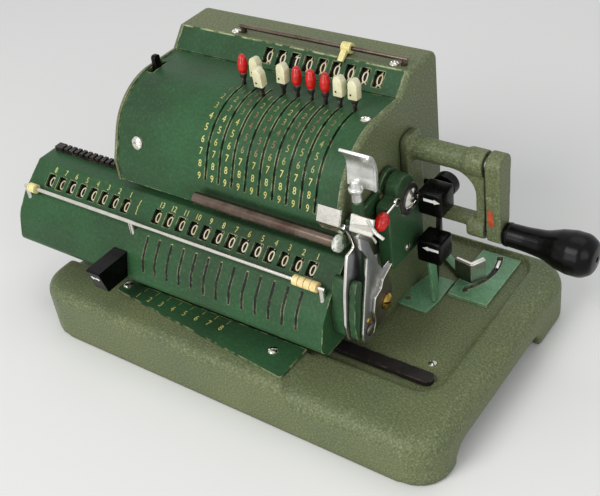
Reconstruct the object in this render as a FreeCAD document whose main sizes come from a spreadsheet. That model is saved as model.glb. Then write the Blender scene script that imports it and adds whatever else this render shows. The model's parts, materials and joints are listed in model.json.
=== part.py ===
import FreeCAD, Part
import math
import os
import re
import Sketcher

# Pinwheel calculator, millimetres. +X to the crank, +Y to the rear, +Z up.
# The origin lies on the table under the middle of the machine.

SIZES = {
    # registers and setting slots share one pitch along X
    "pitch": 8, "slot_count": 9, "result_count": 13, "counter_count": 8,
    "first_digit_x": 39, "counter_inset": 14.6,
    # base casting
    "base_length": 247, "base_depth": 150, "base_middle": -2.5, "base_corner": 18, "rim_height": 27,
    "rim_round": 8, "deck_height": 22, "deck_left": -108, "deck_right": 103, "deck_front": -42,
    "deck_rear": 70,
    "deck_corner": 12, "casting_wall": 5, "platform_height": 31, "platform_right": 38, "platform_rear": -47,
    "platform_slope": 4, "platform_round": 5, "arch_front": -52, "arch_rear": 36, "arch_height": 10,
    "arch_round": 8, "foot_radius": 7, "foot_height": 3, "foot_inset_x": 23.5, "foot_inset_y": 18,
    "foot_boss": 8.5,
    "scale_left": -80, "scale_thickness": 1, "scale_front_left": -57, "scale_front_right": -70,
    # casing around the drum
    "drum_y": 6.3, "drum_z": 98.5, "casing_left": -86, "casing_right": 54, "casing_wall": 3,
    "hood_rear": 60.5, "hood_top": 143, "hood_round": 5, "sheet": 1.2,
    "cover_radius": 34.2, "cover_edge": 0.8, "cover_arc_end": 158, "cover_front": -31, "cover_foot": 86,
    "cover_bend": 8, "casing_front": -12, "panel_low_y": 26.5, "panel_high_y": 35.5,
    "window_width": 5.2, "window_height": 8, "slot_width": 1.3, "slot_margin": 2.5,
    "frame_plate": 3, "frame_gap": 2, "frame_front": -7, "frame_rear": 50, "frame_top": 126,
    # shafts and drum
    "shaft_radius": 4, "running_gap": 0.05, "bush_radius": 7, "drum_radius": 23, "disc_width": 5,
    "drum_core": 9, "crank_y": 28, "crank_z": 108.5, "gear_width": 4, "gear_gap": 0.3,
    "gear_side_gap": 0.5, "dial_radius": 8, "dial_width": 6, "dial_gap": 0.4,
    # setting levers
    "zero_angle": 84, "digit_angle": 10, "set_slot": 7, "blade_inner": 28, "blade_gap": 0.35,
    "blade_width": 0.8, "blade_span": 24, "blade_half": 1.2, "stem_start": 38, "stem_radius": 1.7,
    "knob_start": 40.5, "knob_length": 9.5, "knob_radius": 2.5, "knob_round": 2.2,
    # setting clear bar
    "bar_y": -36.2, "bar_z": 94, "bar_radius": 3, "bar_left": -28, "arm_left": 55, "arm_width": 2.2,
    "arm_half": 4, "bar_boss": 4.2, "hub_radius": 9.5, "sleeve_radius": 6, "tab_y": -25.5,
    "tab_foot": 102, "tab_stub": 111.5, "tab_collar": 116.8, "tab_low": 119, "tab_high": 138.5,
    "tab_left": 54.8, "tab_width": 15.7, "tab_thickness": 2, "tab_lean": 4, "tab_stem_x": 60.3,
    "tab_stem_radius": 2.8, "tab_lug": 3.5,
    # crank bracket and crank
    "tube_radius": 5.5, "flange_width": 4.5, "tube_end": 95, "boss_radius": 6.5, "boss_length": 9,
    "flange_half": 7, "flange_low": 60, "loop_inner_right": 91.5, "loop_right": 96, "loop_half_depth": 3.2,
    "loop_low": 72.9, "loop_bar": 5.6, "loop_round": 7, "loop_fillet": 12, "crank_radius": 36.3,
    "latch_boss": 5.4,
    "latch_boss_length": 9, "arm_inner": 97.5, "arm_outer": 105, "arm_half_depth": 4.6,
    "grip_end": 150, "grip_neck": 6, "grip_bulb": 10.6, "grip_waist": 6.2, "grip_waist_round": 24,
    "grip_bulb_round": 14, "grip_gap": 0.4,
    "spindle_radius": 2.2, "latch_radius": 1.8, "latch_gap": 0.5,
    # carriage
    "carriage_left": -149.6, "carriage_right": 54, "end_wall": 3,
    "face_rear_y": -29.5, "face_rear_z": 80, "face_front_y": -45, "face_front_z": 68,
    "belly_y": -53, "belly_z": 58, "belly_round": 12, "skirt_y": -56.8, "skirt_z": 43.5, "lip_y": -52,
    "lip_z": 38.6, "lip_end": -41, "number_radius": 10, "wheel_width": 6, "wheel_gap": 0.5,
    "register_window_height": 7.5, "register_window_width": 5, "slit_width": 0.8, "slit_low": 50.5,
    "slit_high": 67, "tray_floor": 5, "tray_thickness": 2, "tray_rear": -15, "rack_high": 83,
    "rack_pitch": 4,
    "rack_depth": 4.5, "rack_gap": 1.6, "shoe_length": 12, "shoe_right": 40, "shoe_left": -84,
    "rail_front": -34, "rail_rear": -27, "rail_low": 20, "rail_top": 24, "rail_left": -104,
    "rail_right": 97, "rail_clearance": 0.3, "guide_front": -13, "guide_rear": -8, "guide_low": 66,
    "guide_high": 75, "marker_rod_y": -45.5, "marker_rod_z": 72.5, "rod_radius": 1.1,
    "marker_rod_middle": -68, "marker_rod_inset": 3.6, "marker_rod_right": 51, "marker_radius": 2.6,
    "marker_length": 5, "marker_gap": 0.4, "marker_short": 3, "marker_count": 4,
    "post_radius": 1.6, "block_left": -77, "block_width": 9, "block_front": -74.5,
    "block_low": 45, "block_high": 58.5, "block_lean": 3.4, "block_round": 1, "wheel_core": 4.5,
    # register clearing levers
    "lever_y": -37.5, "lever_z": 49, "stud_radius": 2.5, "near_lever_x": 62.2, "far_lever_x": 67.8,
    "lever_sheet": 1.6, "plate_x": 65, "plate_thickness": 2, "plate_y": -27.4, "plate_z": 56,
    "plate_radius": 15.5, "stud_end": 71, "wing_low": 107, "wing_rise": 10, "wing_y": -41,
    "wing_lean": 2, "wing_near_left": 50, "wing_far_right": 85, "collar_radius": 4,
    "hub_screw_radius": 3.2, "hub_screw_y": -16.2, "hub_screw_z": 49.7, "hub_screw_height": 2.4,
    # keys and small controls
    "key_size": 13, "key_round": 1.6, "key_x": 75, "right_key_z": 90.3, "left_key_z": 64.4,
    "right_key_y": 17, "left_key_y": 13.8, "key_stem": 1.5, "key_stem_width": 5, "key_pivot_x": 70,
    "key_pivot_z": 34, "right_stem_y": 21.5, "left_stem_y": 16.5, "key_pin_radius": 1.5,
    "deck_sheet": 1.5, "key_plate_left": 54.8, "key_plate_right": 79, "key_plate_front": 9.9,
    "key_plate_rear": 26, "key_ear_y": 11.8, "latch_left": 73, "latch_right": 95, "latch_front": 28,
    "latch_rear": 68, "latch_hinge_x": 57.4, "latch_hinge_y": 54.5, "arc_radius": 28.9, "arc_half": 1.6,
    "arc_from": -42, "arc_to": 25, "thumb_x": 81.2, "thumb_y": 37, "thumb_left": 7.6, "thumb_right": 9.4,
    "thumb_turn": 24, "thumb_top": 40, "thumb_sheet": 1.8, "tang_width": 5, "seat_gap": 0.3,
    "housing_left": 58.5, "housing_right": 65.5, "housing_boss": 8, "housing_foot": 62,
    "housing_front": -9.5, "housing_rear": 20.5, "cap_radius": 6.4, "cap_thickness": 1.6,
    "bead_y": -3.4, "bead_pin": 0.9, "bead_eye_width": 1.6, "bead_rod_end": -13.5, "bead_rod_radius": 0.8,
    "bead_radius": 3.3, "bead_length": 9, "bead_z": 98.4, "bead_eye": 2.2,
    "finger_x": -80, "finger_width": 3, "finger_foot": 29, "finger_top": 45, "finger_half": 2.2,
    "finger_angle": 88, "knob_arm_y": 43, "knob_arm_z": 78, "round_knob_x": 69.2, "round_knob_z": 84,
    "round_knob_radius": 6.2, "round_knob_y": 34.5, "round_knob_length": 5,
    "hood_rod_y": 40, "hood_rod_rise": 3.1, "hood_rod_left": -46, "hood_rod_right": 48, "hood_marker_x": 17,
    "screw_radius": 2.4, "screw_height": 1.6, "deck_screw_x": 90.5, "deck_screw_y": -19.7,
    "cover_screw_x": -70, "cover_screw_radius": 3.4,
}
doc = FreeCAD.newDocument("PinwheelCalculator")
sheet = doc.addObject("Spreadsheet::Sheet", "Sizes")
for row, (alias, amount) in enumerate(SIZES.items(), start=1):
    sheet.set(f"A{row}", alias)
    sheet.set(f"B{row}", str(amount))
    sheet.setAlias(f"B{row}", alias)
doc.recompute()

ALIAS = re.compile(r"\b(" + "|".join(sorted(SIZES, key=len, reverse=True)) + r")\b")
NODES = []

# Places worked out from the sizes, each a formula of the sheet.
PLACES = {
    "wall_radius": "cover_radius + cover_edge",
    "panel_low_z": "drum_z + wall_radius",
    "panel_tilt": "atan2(hood_top - panel_low_z; panel_high_y - panel_low_y)",
    "panel_y": "(panel_low_y + panel_high_y) / 2",
    "panel_z": "(hood_top + panel_low_z) / 2",
    "dial_y": "panel_y + (dial_radius + dial_gap + sheet) * sin(panel_tilt)",
    "dial_z": "panel_z - (dial_radius + dial_gap + sheet) * cos(panel_tilt)",
    "inner_left": "casing_left + casing_wall",
    "inner_right": "casing_right - casing_wall",
    "inner_length": "casing_right - casing_left - 2 * casing_wall",
    "frame_right": "inner_right - frame_gap",
    "frame_left": "inner_left + frame_gap",
    "shaft_left": "frame_left + frame_plate",
    "shaft_right": "frame_right - frame_plate",
    "last_digit_x": "first_digit_x - pitch * (slot_count - 1)",
    "counter_digit_x": "carriage_left + counter_inset + pitch * (counter_count - 1)",
    "gear_x": "shaft_right - gear_side_gap - gear_width",
    "gear_radius": "sqrt((crank_y - drum_y)^2 + (crank_z - drum_z)^2) / 2 - gear_gap / 2",
    "face_tilt": "atan2(face_rear_z - face_front_z; face_rear_y - face_front_y)",
    "face_y": "(face_rear_y + face_front_y) / 2",
    "face_z": "(face_rear_z + face_front_z) / 2",
    "wheel_y": "face_y + (number_radius + wheel_gap + sheet) * sin(face_tilt)",
    "wheel_z": "face_z - (number_radius + wheel_gap + sheet) * cos(face_tilt)",
    "blade_outer": "cover_radius - sheet - blade_gap",
    "latch_z": "crank_z - crank_radius",
    "rod_z": "hood_top + hood_rod_rise",
    "key_half": "key_size / 2",
    "deck_top": "deck_height + deck_sheet",
    "bar_reach": "sqrt((bar_y - drum_y)^2 + (bar_z - drum_z)^2)",
    "bar_angle": "180 - atan2(bar_z - drum_z; drum_y - bar_y) / 1deg",
    "tang_reach": "sqrt((thumb_x - latch_hinge_x)^2 + (thumb_y - latch_hinge_y)^2)",
    "inner_register_left": "carriage_left + end_wall",
    "register_length": "carriage_right - carriage_left - 2 * end_wall",
    "marker_rod_left": "carriage_left + marker_rod_inset",
    "base_left": "base_middle - base_length / 2",
    "base_right": "base_middle + base_length / 2",
}
PLACE = re.compile(r"\b(" + "|".join(PLACES) + r")\b")


def bound(text):
    """The formula with each place written out and each size read from the sheet."""
    text = str(text)
    while PLACE.search(text):
        text = PLACE.sub(lambda found: "(" + PLACES[found.group(1)] + ")", text)
    return ALIAS.sub(r"Sizes.\1", text)


def number(text):
    return float(sheet.evalExpression(bound(text)))


def bind(item, **formulas):
    for name, text in formulas.items():
        item.setExpression(name.replace("__", "."), bound(text))
    return item


def keep(item, label=None):
    """Takes the object as a sub-part of the machine."""
    item.Label = label or item.Label
    NODES.append(item)
    return item


def place(item, x=0, y=0, z=0, axis=(1, 0, 0), angle=0):
    turn = FreeCAD.Rotation(FreeCAD.Vector(*axis), number(angle))
    item.Placement = FreeCAD.Placement(FreeCAD.Vector(), turn)
    if str(angle) != "0":
        item.setExpression("Placement.Rotation.Angle", bound(angle))
    return bind(item, Placement__Base__x=x, Placement__Base__y=y, Placement__Base__z=z)


# Part primitives
def box(name, x, y, z, length, width, height):
    item = doc.addObject("Part::Box", name)
    bind(item, Length=length, Width=width, Height=height)
    return place(item, x, y, z)


def rod(name, axis, x, y, z, radius, length, sweep=360):
    """A round bar that starts at the point and runs along the named axis."""
    item = doc.addObject("Part::Cylinder", name)
    bind(item, Radius=radius, Height=length, Angle=sweep)
    turns = {"x": ((0, 1, 0), 90), "y": ((1, 0, 0), -90), "z": ((0, 0, 1), 0)}
    return place(item, x, y, z, *turns[axis])


def fuse(name, *pieces):
    item = doc.addObject("Part::MultiFuse", name)
    item.Shapes = list(pieces)
    item.Refine = True
    return item


def cut(name, piece, tool):
    item = doc.addObject("Part::Cut", name)
    item.Base = piece
    item.Tool = tool
    return item


def group(name, *pieces):
    item = doc.addObject("Part::Compound", name)
    item.Links = list(pieces)
    return item


# Sketches: a profile is a list of corners (first, second, fillet radius),
# or (first, second, 0, arc radius) where the side that leaves the corner is an arc;
# a minus sign puts its centre on the right of the way round.
def held(sketch, kind, point, place_text, *geometry):
    index = sketch.addConstraint(Sketcher.Constraint(kind, *geometry, point))
    sketch.setExpression(f"Constraints[{index}]", bound(place_text))


def arc_through(sketch, first, middle, last):
    """Adds the arc counterclockwise; says which end is the first point and which the last."""
    turn = (middle - first).cross(last - first).z
    points = (first, middle, last) if turn > 0 else (last, middle, first)
    index = sketch.addGeometry(Part.Arc(*points), False)
    return (index, 1, 2) if turn > 0 else (index, 2, 1)


def outline(sketch, corners):
    points = [FreeCAD.Vector(number(one[0]), number(one[1]), 0) for one in corners]
    count = len(points)
    ends = []
    for index, corner in enumerate(corners):
        here = points[index]
        radius = number(corner[2]) if len(corner) > 2 else 0
        if not radius:
            ends.append((here, here, None))
            continue
        back = (points[index - 1] - here).normalize()
        ahead = (points[(index + 1) % count] - here).normalize()
        half = back.getAngle(ahead) / 2
        run = radius / math.tan(half)
        centre = here + (back + ahead).normalize() * (radius / math.sin(half))
        first, last = here + back * run, here + ahead * run
        middle = centre + ((first + last) * 0.5 - centre).normalize() * radius
        ends.append((first, last, middle))
    sides = []
    for index, corner in enumerate(corners):
        start, stop = ends[index][1], ends[(index + 1) % count][0]
        if len(corner) > 3:
            inward = corner[3].startswith("-")
            size = corner[3].lstrip("-")
            radius = number(size)
            chord = stop - start
            normal = FreeCAD.Vector(-chord.y, chord.x, 0).normalize() * (-1 if inward else 1)
            rise = math.sqrt(radius * radius - chord.Length * chord.Length / 4)
            centre = (start + stop) * 0.5 + normal * rise
            middle = centre - normal * radius
            sides.append(arc_through(sketch, start, middle, stop))
            held(sketch, "Radius", radius, size, sides[-1][0])
        else:
            sides.append((sketch.addGeometry(Part.LineSegment(start, stop), False), 1, 2))
    for index, corner in enumerate(corners):
        before, after = sides[index - 1], sides[index]
        first, last, middle = ends[index]
        target = (after[0], after[1])
        if middle is None:
            sketch.addConstraint(Sketcher.Constraint("Coincident", before[0], before[2], *target))
        else:
            arc, starts, stops = arc_through(sketch, first, middle, last)
            target = (sketch.addGeometry(Part.Point(points[index]), True), 1)
            sketch.addConstraint(Sketcher.Constraint("PointOnObject", *target, before[0]))
            sketch.addConstraint(Sketcher.Constraint("PointOnObject", *target, after[0]))
            sketch.addConstraint(Sketcher.Constraint("Tangent", before[0], before[2], arc, starts))
            sketch.addConstraint(Sketcher.Constraint("Tangent", after[0], after[1], arc, stops))
            held(sketch, "Radius", number(corner[2]), corner[2], arc)
        held(sketch, "DistanceX", points[index].x, corner[0], -1, 1, *target)
        held(sketch, "DistanceY", points[index].y, corner[1], -1, 1, *target)


def ring(sketch, across, up, radius):
    centre = FreeCAD.Vector(number(across), number(up), 0)
    circle = Part.Circle(centre, FreeCAD.Vector(0, 0, 1), number(radius))
    index = sketch.addGeometry(circle, False)
    held(sketch, "DistanceX", centre.x, across, -1, 1, index, 3)
    held(sketch, "DistanceY", centre.y, up, -1, 1, index, 3)
    held(sketch, "Radius", number(radius), radius, index)


def drawn(body, plane, profile, start=0, lift=0):
    """A sketch on one of the body's own planes: a circle as a tuple, or a list of corners."""
    sketch = body.newObject("Sketcher::SketchObject", "Profile")
    found = [one for one in body.Origin.OriginFeatures if one.Role == plane + "_Plane"]
    sketch.AttachmentSupport = [(found[0], "")]
    sketch.MapMode = "FlatFace"
    if isinstance(profile, tuple):
        ring(sketch, *profile)
    else:
        outline(sketch, profile)
    bind(sketch, AttachmentOffset__Base__z=start, AttachmentOffset__Base__y=lift)
    return sketch


def new_body(name):
    body = doc.addObject("PartDesign::Body", name)
    body.AllowCompound = True
    return body


def pad(body, plane, profile, start, length):
    """Adds the profile from start on, along the plane's normal."""
    item = body.newObject("PartDesign::Pad", "Pad")
    item.Profile = drawn(body, plane, profile, start)
    return bind(item, Length=length)


def pocket(body, plane, profile, start, length):
    """Cuts the profile from start over the length, along the plane's normal."""
    item = body.newObject("PartDesign::Pocket", "Pocket")
    item.Profile = drawn(body, plane, profile, f"({start}) + ({length})")
    return bind(item, Length=length)


def repeat(body, feature, count, step, axis="X", back=True):
    """Copies the feature along an axis of the body."""
    item = body.newObject("PartDesign::LinearPattern", "Row")
    found = [one for one in body.Origin.OriginFeatures if one.Role == axis + "_Axis"]
    item.Originals = [feature]
    item.Direction = (found[0], [""])
    item.Reversed = back
    bind(item, Length=f"({step}) * ({count} - 1)", Occurrences=count)
    body.Tip = item
    return item


def turned(body, profile, lift=0, back=0):
    """Turns a profile of (along X, radius) corners about a line parallel to X."""
    item = body.newObject("PartDesign::Revolution", "Turning")
    sketch = drawn(body, "XZ", profile, f"-({back})", lift)
    item.Profile = sketch
    item.ReferenceAxis = (sketch, ["H_Axis"])
    item.Angle = 360
    return item


def rounded(body, feature, radius, chosen):
    """Fillets the feature's edges for which the test of the two end points holds."""
    doc.recompute()
    names = []
    for index, edge in enumerate(feature.Shape.Edges, start=1):
        if all(chosen(vertex.Point) for vertex in edge.Vertexes):
            names.append(f"Edge{index}")
    item = body.newObject("PartDesign::Fillet", "Round")
    item.Base = (feature, names)
    return bind(item, Radius=radius)


def near(one, text):
    return abs(one - number(text)) < 0.01


def inset(path, wall):
    """The path moved to its left by the wall."""
    normals = []
    for one, two in zip(path, path[1:]):
        run = f"sqrt(({two[0]} - ({one[0]}))^2 + ({two[1]} - ({one[1]}))^2)"
        normals.append((f"({one[1]} - ({two[1]})) / {run}", f"({two[0]} - ({one[0]})) / {run}"))
    normals = [normals[0]] + normals + [normals[-1]]
    moved = []
    for point, one, two in zip(path, normals, normals[1:]):
        share = f"{wall} / (1 + {one[0]} * {two[0]} + {one[1]} * {two[1]})"
        across = f"{point[0]} + ({one[0]} + {two[0]}) * {share}"
        up = f"{point[1]} + ({one[1]} + {two[1]}) * {share}"
        moved.append((across, up, f"{point[2]} - {wall}") if len(point) > 2 else (across, up))
    return moved


def strip(path, wall):
    return path + inset(path, wall)[::-1]


# Base casting: a shallow tray with a raised platform for the scale, hollow below.
half_depth = "base_depth / 2"
footprint = [
    ("base_left", f"-{half_depth}", "base_corner"), ("base_right", f"-{half_depth}", "base_corner"),
    ("base_right", half_depth, "base_corner"), ("base_left", half_depth, "base_corner"),
]
base = keep(new_body("base_casting"))
shell = pad(base, "XY", footprint, 0, "rim_height")
rounded(base, shell, "rim_round", lambda point: near(point.z, "rim_height"))
step_end = "platform_right + platform_slope"
platform = pad(base, "XY", [
    ("base_left", f"-{half_depth}", "base_corner"), (step_end, f"-{half_depth}"),
    (step_end, "platform_rear"), ("base_left", "platform_rear"),
], "rim_height - rim_round - 1", "platform_height - rim_height + rim_round + 1")
ramp = pocket(base, "XZ", [
    ("platform_right", "platform_height"), (step_end, "rim_height"), (f"{step_end} + 1", "rim_height"),
    (f"{step_end} + 1", "platform_height + 1"), ("platform_right", "platform_height + 1"),
], "-platform_rear - 1", "base_depth / 2 + platform_rear + 2")
rounded(base, ramp, "platform_round", lambda point: near(point.z, "platform_height")
        and not near(point.y, "platform_rear") and not near(point.x, "platform_right"))
pocket(base, "XY", [
    ("deck_left", "deck_front", "deck_corner"), ("deck_right", "deck_front", "deck_corner"),
    ("deck_right", "deck_rear", "deck_corner"), ("deck_left", "deck_rear", "deck_corner"),
], "deck_height", "platform_height - deck_height")
inner_left_x, inner_right_x = "base_left + casting_wall", "base_right - casting_wall"
inner_y, inner_round = f"({half_depth} - casting_wall)", "base_corner - casting_wall"
pocket(base, "XY", [
    (inner_left_x, f"-{inner_y}", inner_round), (inner_right_x, f"-{inner_y}", inner_round),
    (inner_right_x, inner_y, inner_round), (inner_left_x, inner_y, inner_round),
], 0, "deck_height - casting_wall")
pocket(base, "YZ", [
    ("arch_front", "-1"), ("arch_front", "arch_height", "arch_round"),
    ("arch_rear", "arch_height", "arch_round"), ("arch_rear", "-1"),
], "base_left - 1", "base_length + 2")
pocket(base, "XY", [
    ("rail_left", "rail_front"), ("rail_right", "rail_front", "(rail_rear - rail_front) / 2.1"),
    ("rail_right", "rail_rear", "(rail_rear - rail_front) / 2.1"), ("rail_left", "rail_rear"),
], "rail_low", "deck_height - rail_low + 1")
foot_centres = [(foot_x, foot_y) for foot_x in ("base_left + foot_inset_x", "base_right - foot_inset_x")
                for foot_y in (f"{half_depth} - foot_inset_y", f"foot_inset_y - {half_depth}")]
for foot_x, foot_y in foot_centres:
    pad(base, "XY", (foot_x, foot_y, "foot_boss"), "foot_height",
        "deck_height - casting_wall - foot_height + 1")

feet = [rod("foot", "z", foot_x, foot_y, 0, "foot_radius", "foot_height")
        for foot_x, foot_y in foot_centres]
keep(group("rubber_feet", *feet))

# Casing: rear hood with both side walls, the drum cover and the inclined indicator panel.
def arc_corner(radius):
    return (f"drum_y - {radius} * tan((cover_arc_end - 90) / 2)", f"drum_z + {radius}", radius)


def front_corner(radius, front):
    height = f"drum_z + ({radius} - ({front} - drum_y) * cos(cover_arc_end)) / sin(cover_arc_end)"
    return (front, height, "cover_bend")


wall_front = "cover_front - cover_edge"
hood = keep(new_body("rear_hood"))
walls = pad(hood, "YZ", [
    ("casing_front", "deck_height"), ("hood_rear", "deck_height"),
    ("hood_rear", "hood_top", "hood_round"), ("panel_high_y", "hood_top"),
    ("panel_low_y", "panel_low_z"), arc_corner("wall_radius"), front_corner("wall_radius", wall_front),
    (wall_front, "cover_foot"), ("casing_front", "cover_foot"),
], "casing_left", "casing_right - casing_left")
inside = pocket(hood, "YZ", [
    (f"{wall_front} - 1", "deck_height - 1"), ("hood_rear - casing_wall", "deck_height - 1"),
    ("hood_rear - casing_wall", "hood_top - casing_wall", "hood_round - casing_wall"),
    ("panel_high_y", "hood_top - casing_wall"), ("panel_high_y", "hood_top + 1"),
    (f"{wall_front} - 1", "hood_top + 1"),
], "inner_left", "inner_length")
rounded(hood, inside, "casing_wall * 0.8", lambda point: (near(point.x, "casing_left")
        or near(point.x, "casing_right")) and point.z > number("drum_z"))
pocket(hood, "YZ", ("crank_y", "crank_z", "shaft_radius + running_gap"), "inner_right - 1",
       "casing_wall + 2")

skin_path = [
    ("panel_low_y", "drum_z + cover_radius"), arc_corner("cover_radius"),
    front_corner("cover_radius", "cover_front"), ("cover_front", "cover_foot"),
]
cover = keep(new_body("drum_cover"))
pad(cover, "YZ", strip(skin_path, "sheet"), "inner_left", "inner_length")


def wedge(start, stop):
    reach = "(2 * cover_radius)"
    middle = f"(({start} + {stop}) / 2)"
    corner = f"{reach} / cos(({stop} - ({start})) / 2)"
    return [("drum_y", "drum_z"),
            (f"drum_y + {reach} * cos({start})", f"drum_z + {reach} * sin({start})"),
            (f"drum_y + {corner} * cos{middle}", f"drum_z + {corner} * sin{middle}"),
            (f"drum_y + {reach} * cos({stop})", f"drum_z + {reach} * sin({stop})")]


slot = pocket(cover, "YZ", wedge("zero_angle - slot_margin", "zero_angle + 9 * digit_angle + slot_margin"),
              "first_digit_x - slot_width / 2", "slot_width")
repeat(cover, slot, "slot_count", "pitch")
pocket(cover, "YZ", wedge("finger_angle - 10", "finger_angle + 10"),
       "finger_x - finger_width / 2 - 0.5", "finger_width + 1")


def window(middle_y, middle_z, tilt, high):
    along, through = f"({high} / 2)", "(2 * sheet)"
    return [(f"{middle_y} + {one} {along} * cos({tilt}) + {two} {through} * sin({tilt})",
             f"{middle_z} + {one} {along} * sin({tilt}) - {two} {through} * cos({tilt})")
            for one, two in (("-1 *", "-1 *"), ("1 *", "-1 *"), ("1 *", "1 *"), ("-1 *", "1 *"))]


panel = keep(new_body("indicator_panel"))
drop = "sheet / cos(panel_tilt)"
pad(panel, "YZ", [
    ("panel_low_y", "panel_low_z"), ("panel_high_y", "hood_top"),
    ("panel_high_y", f"hood_top - {drop}"), ("panel_low_y", f"panel_low_z - {drop}"),
], "inner_left", "inner_length")
opening = pocket(panel, "YZ", window("panel_y", "panel_z", "panel_tilt", "window_height"),
                 "first_digit_x - window_width / 2", "window_width")
repeat(panel, opening, "slot_count", "pitch")

# Side frames on the deck carry the drum shaft, the crank shaft and the dial shaft.
def frame(name, start):
    plate = new_body(name)
    pad(plate, "YZ", [
        ("frame_front", "deck_height"), ("frame_rear", "deck_height"),
        ("frame_rear", "dial_z + bush_radius / 2"),
        ("dial_y - bush_radius / 2", "dial_z + bush_radius / 2"), ("crank_y - bush_radius", "frame_top"),
        ("frame_front", "frame_top"),
    ], start, "frame_plate")
    pocket(plate, "YZ", ("drum_y", "drum_z", "shaft_radius + running_gap"), f"{start} - 1",
           "frame_plate + 2")
    if name.endswith("right"):
        pocket(plate, "YZ", ("crank_y", "crank_z", "shaft_radius + running_gap"), f"{start} - 1",
               "frame_plate + 2")
    return plate


keep(group("side_frames", frame("frame_plate_left", "frame_left"),
           frame("frame_plate_right", "shaft_right")))

# Crank bracket: bearing tube and loop cast in one piece, standing off the right wall.
bracket = keep(new_body("crank_bracket"))
loop_low, loop_inside = "loop_low", "loop_low + loop_bar"
pad(bracket, "XZ", [
    ("casing_right", loop_low), ("loop_right", loop_low, "loop_round"),
    ("loop_right", "crank_z", "tube_radius"), ("casing_right", "crank_z"),
], "-crank_y - loop_half_depth", "2 * loop_half_depth")
pocket(bracket, "XZ", [
    ("casing_right + flange_width", loop_inside, 3), ("loop_inner_right", loop_inside, 1),
    ("loop_inner_right", "crank_z - tube_radius", "loop_fillet"),
    ("casing_right + flange_width", "crank_z - tube_radius", 3),
], "-crank_y - loop_half_depth - 1", "2 * loop_half_depth + 2")
pad(bracket, "YZ", [
    ("crank_y - flange_half", "flange_low", 3), ("crank_y + flange_half", "flange_low", 3),
    ("crank_y + flange_half", "crank_z + flange_half", 4),
    ("crank_y - flange_half", "crank_z + flange_half", 4),
], "casing_right", "flange_width")
pad(bracket, "YZ", ("crank_y", "crank_z", "tube_radius"), "casing_right", "tube_end - casing_right")
pad(bracket, "YZ", ("crank_y", "crank_z", "boss_radius"), "loop_right - boss_length", "boss_length")
pad(bracket, "YZ", ("crank_y", "latch_z", "latch_boss"), "loop_right - latch_boss_length",
    "latch_boss_length")
pocket(bracket, "YZ", ("crank_y", "crank_z", "shaft_radius + running_gap"), "casing_right - 1",
       "loop_right - casing_right + 2")
pocket(bracket, "YZ", ("crank_y", "latch_z", "latch_radius + running_gap"),
       "loop_right - latch_boss_length + 2", "latch_boss_length")

# Key housing: a post on the right wall with a boss in line with the drum.
housing = keep(new_body("key_housing"))
width = "housing_right - housing_left"
pad(housing, "YZ", [
    ("housing_front", "housing_foot", 3), ("housing_rear", "housing_foot", 3),
    ("housing_rear", "housing_foot + housing_boss * 2"), ("drum_y + housing_boss", "drum_z"),
    ("housing_front", "drum_z", 3),
], "housing_left", width)
pad(housing, "YZ", ("drum_y", "drum_z", "housing_boss"), "housing_left", width)
pad(housing, "YZ", [
    ("drum_y + housing_boss", "housing_foot"), ("housing_rear", "housing_foot"),
    ("housing_rear", "housing_foot + housing_boss * 2"),
    ("drum_y + housing_boss", "housing_foot + housing_boss * 2"),
], "casing_right", "housing_right - casing_right")
pad(housing, "YZ", ("drum_y", "drum_z", "sleeve_radius"), "casing_right", "housing_left - casing_right")
pad(housing, "YZ", ("bead_y", "bead_z", "bead_pin"), "housing_right",
    "2 * running_gap + bead_eye_width + 0.2")

# Scale plate on the platform.
scale = keep(new_body("scale_plate"))
pad(scale, "XY", [
    ("scale_left", "platform_rear - 1"), ("scale_left", "scale_front_left", 3),
    ("platform_right", "scale_front_right", 1.5), ("platform_right", "platform_rear - 1"),
], "platform_height", "scale_thickness")

# Key plate on the deck with the ear and pin that carry both shift keys.
key_plate = keep(new_body("key_plate"))
pad(key_plate, "XY", [
    ("key_plate_left", "key_plate_front", 1), ("key_plate_right", "key_plate_front", 1),
    ("key_plate_right", "key_plate_rear", 1), ("key_plate_left", "key_plate_rear", 1),
], "deck_height", "deck_sheet")
pad(key_plate, "XZ", [
    ("key_pivot_x - key_stem_width", "deck_height"), ("key_pivot_x + key_stem_width", "deck_height"),
    ("key_pivot_x + key_stem_width", "key_pivot_z + 3", 3),
    ("key_pivot_x - key_stem_width", "key_pivot_z + 3", 3),
], "-key_ear_y - deck_sheet", "deck_sheet")
pad(key_plate, "XZ", ("key_pivot_x", "key_pivot_z", "key_pin_radius"), "-right_stem_y - 2 * key_stem",
    "right_stem_y + 2 * key_stem - key_ear_y - 0.5")

# Latch plate with the arc slot, and the pin of the thumb piece.
plate = box("latch_sheet", "latch_left", "latch_front", "deck_height", "latch_right - latch_left",
            "latch_rear - latch_front", "deck_sheet")
arc_outer = rod("arc_outer", "z", "latch_hinge_x", "latch_hinge_y", "deck_height - 1",
                "arc_radius + arc_half", "deck_sheet + 2", "arc_to - arc_from")
arc_inner = rod("arc_inner", "z", "latch_hinge_x", "latch_hinge_y", "deck_height - 1",
                "arc_radius - arc_half", "deck_sheet + 2")
place(arc_outer, "latch_hinge_x", "latch_hinge_y", "deck_height - 1", (0, 0, 1), "arc_from")
slotted = cut("slotted_sheet", plate, cut("arc_slot", arc_outer, arc_inner))
hinge_pin = rod("latch_pin", "z", "latch_hinge_x", "latch_hinge_y", "deck_height", "key_pin_radius",
                "deck_sheet + seat_gap + thumb_sheet + 1")
keep(group("latch_plate", slotted, hinge_pin))

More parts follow.
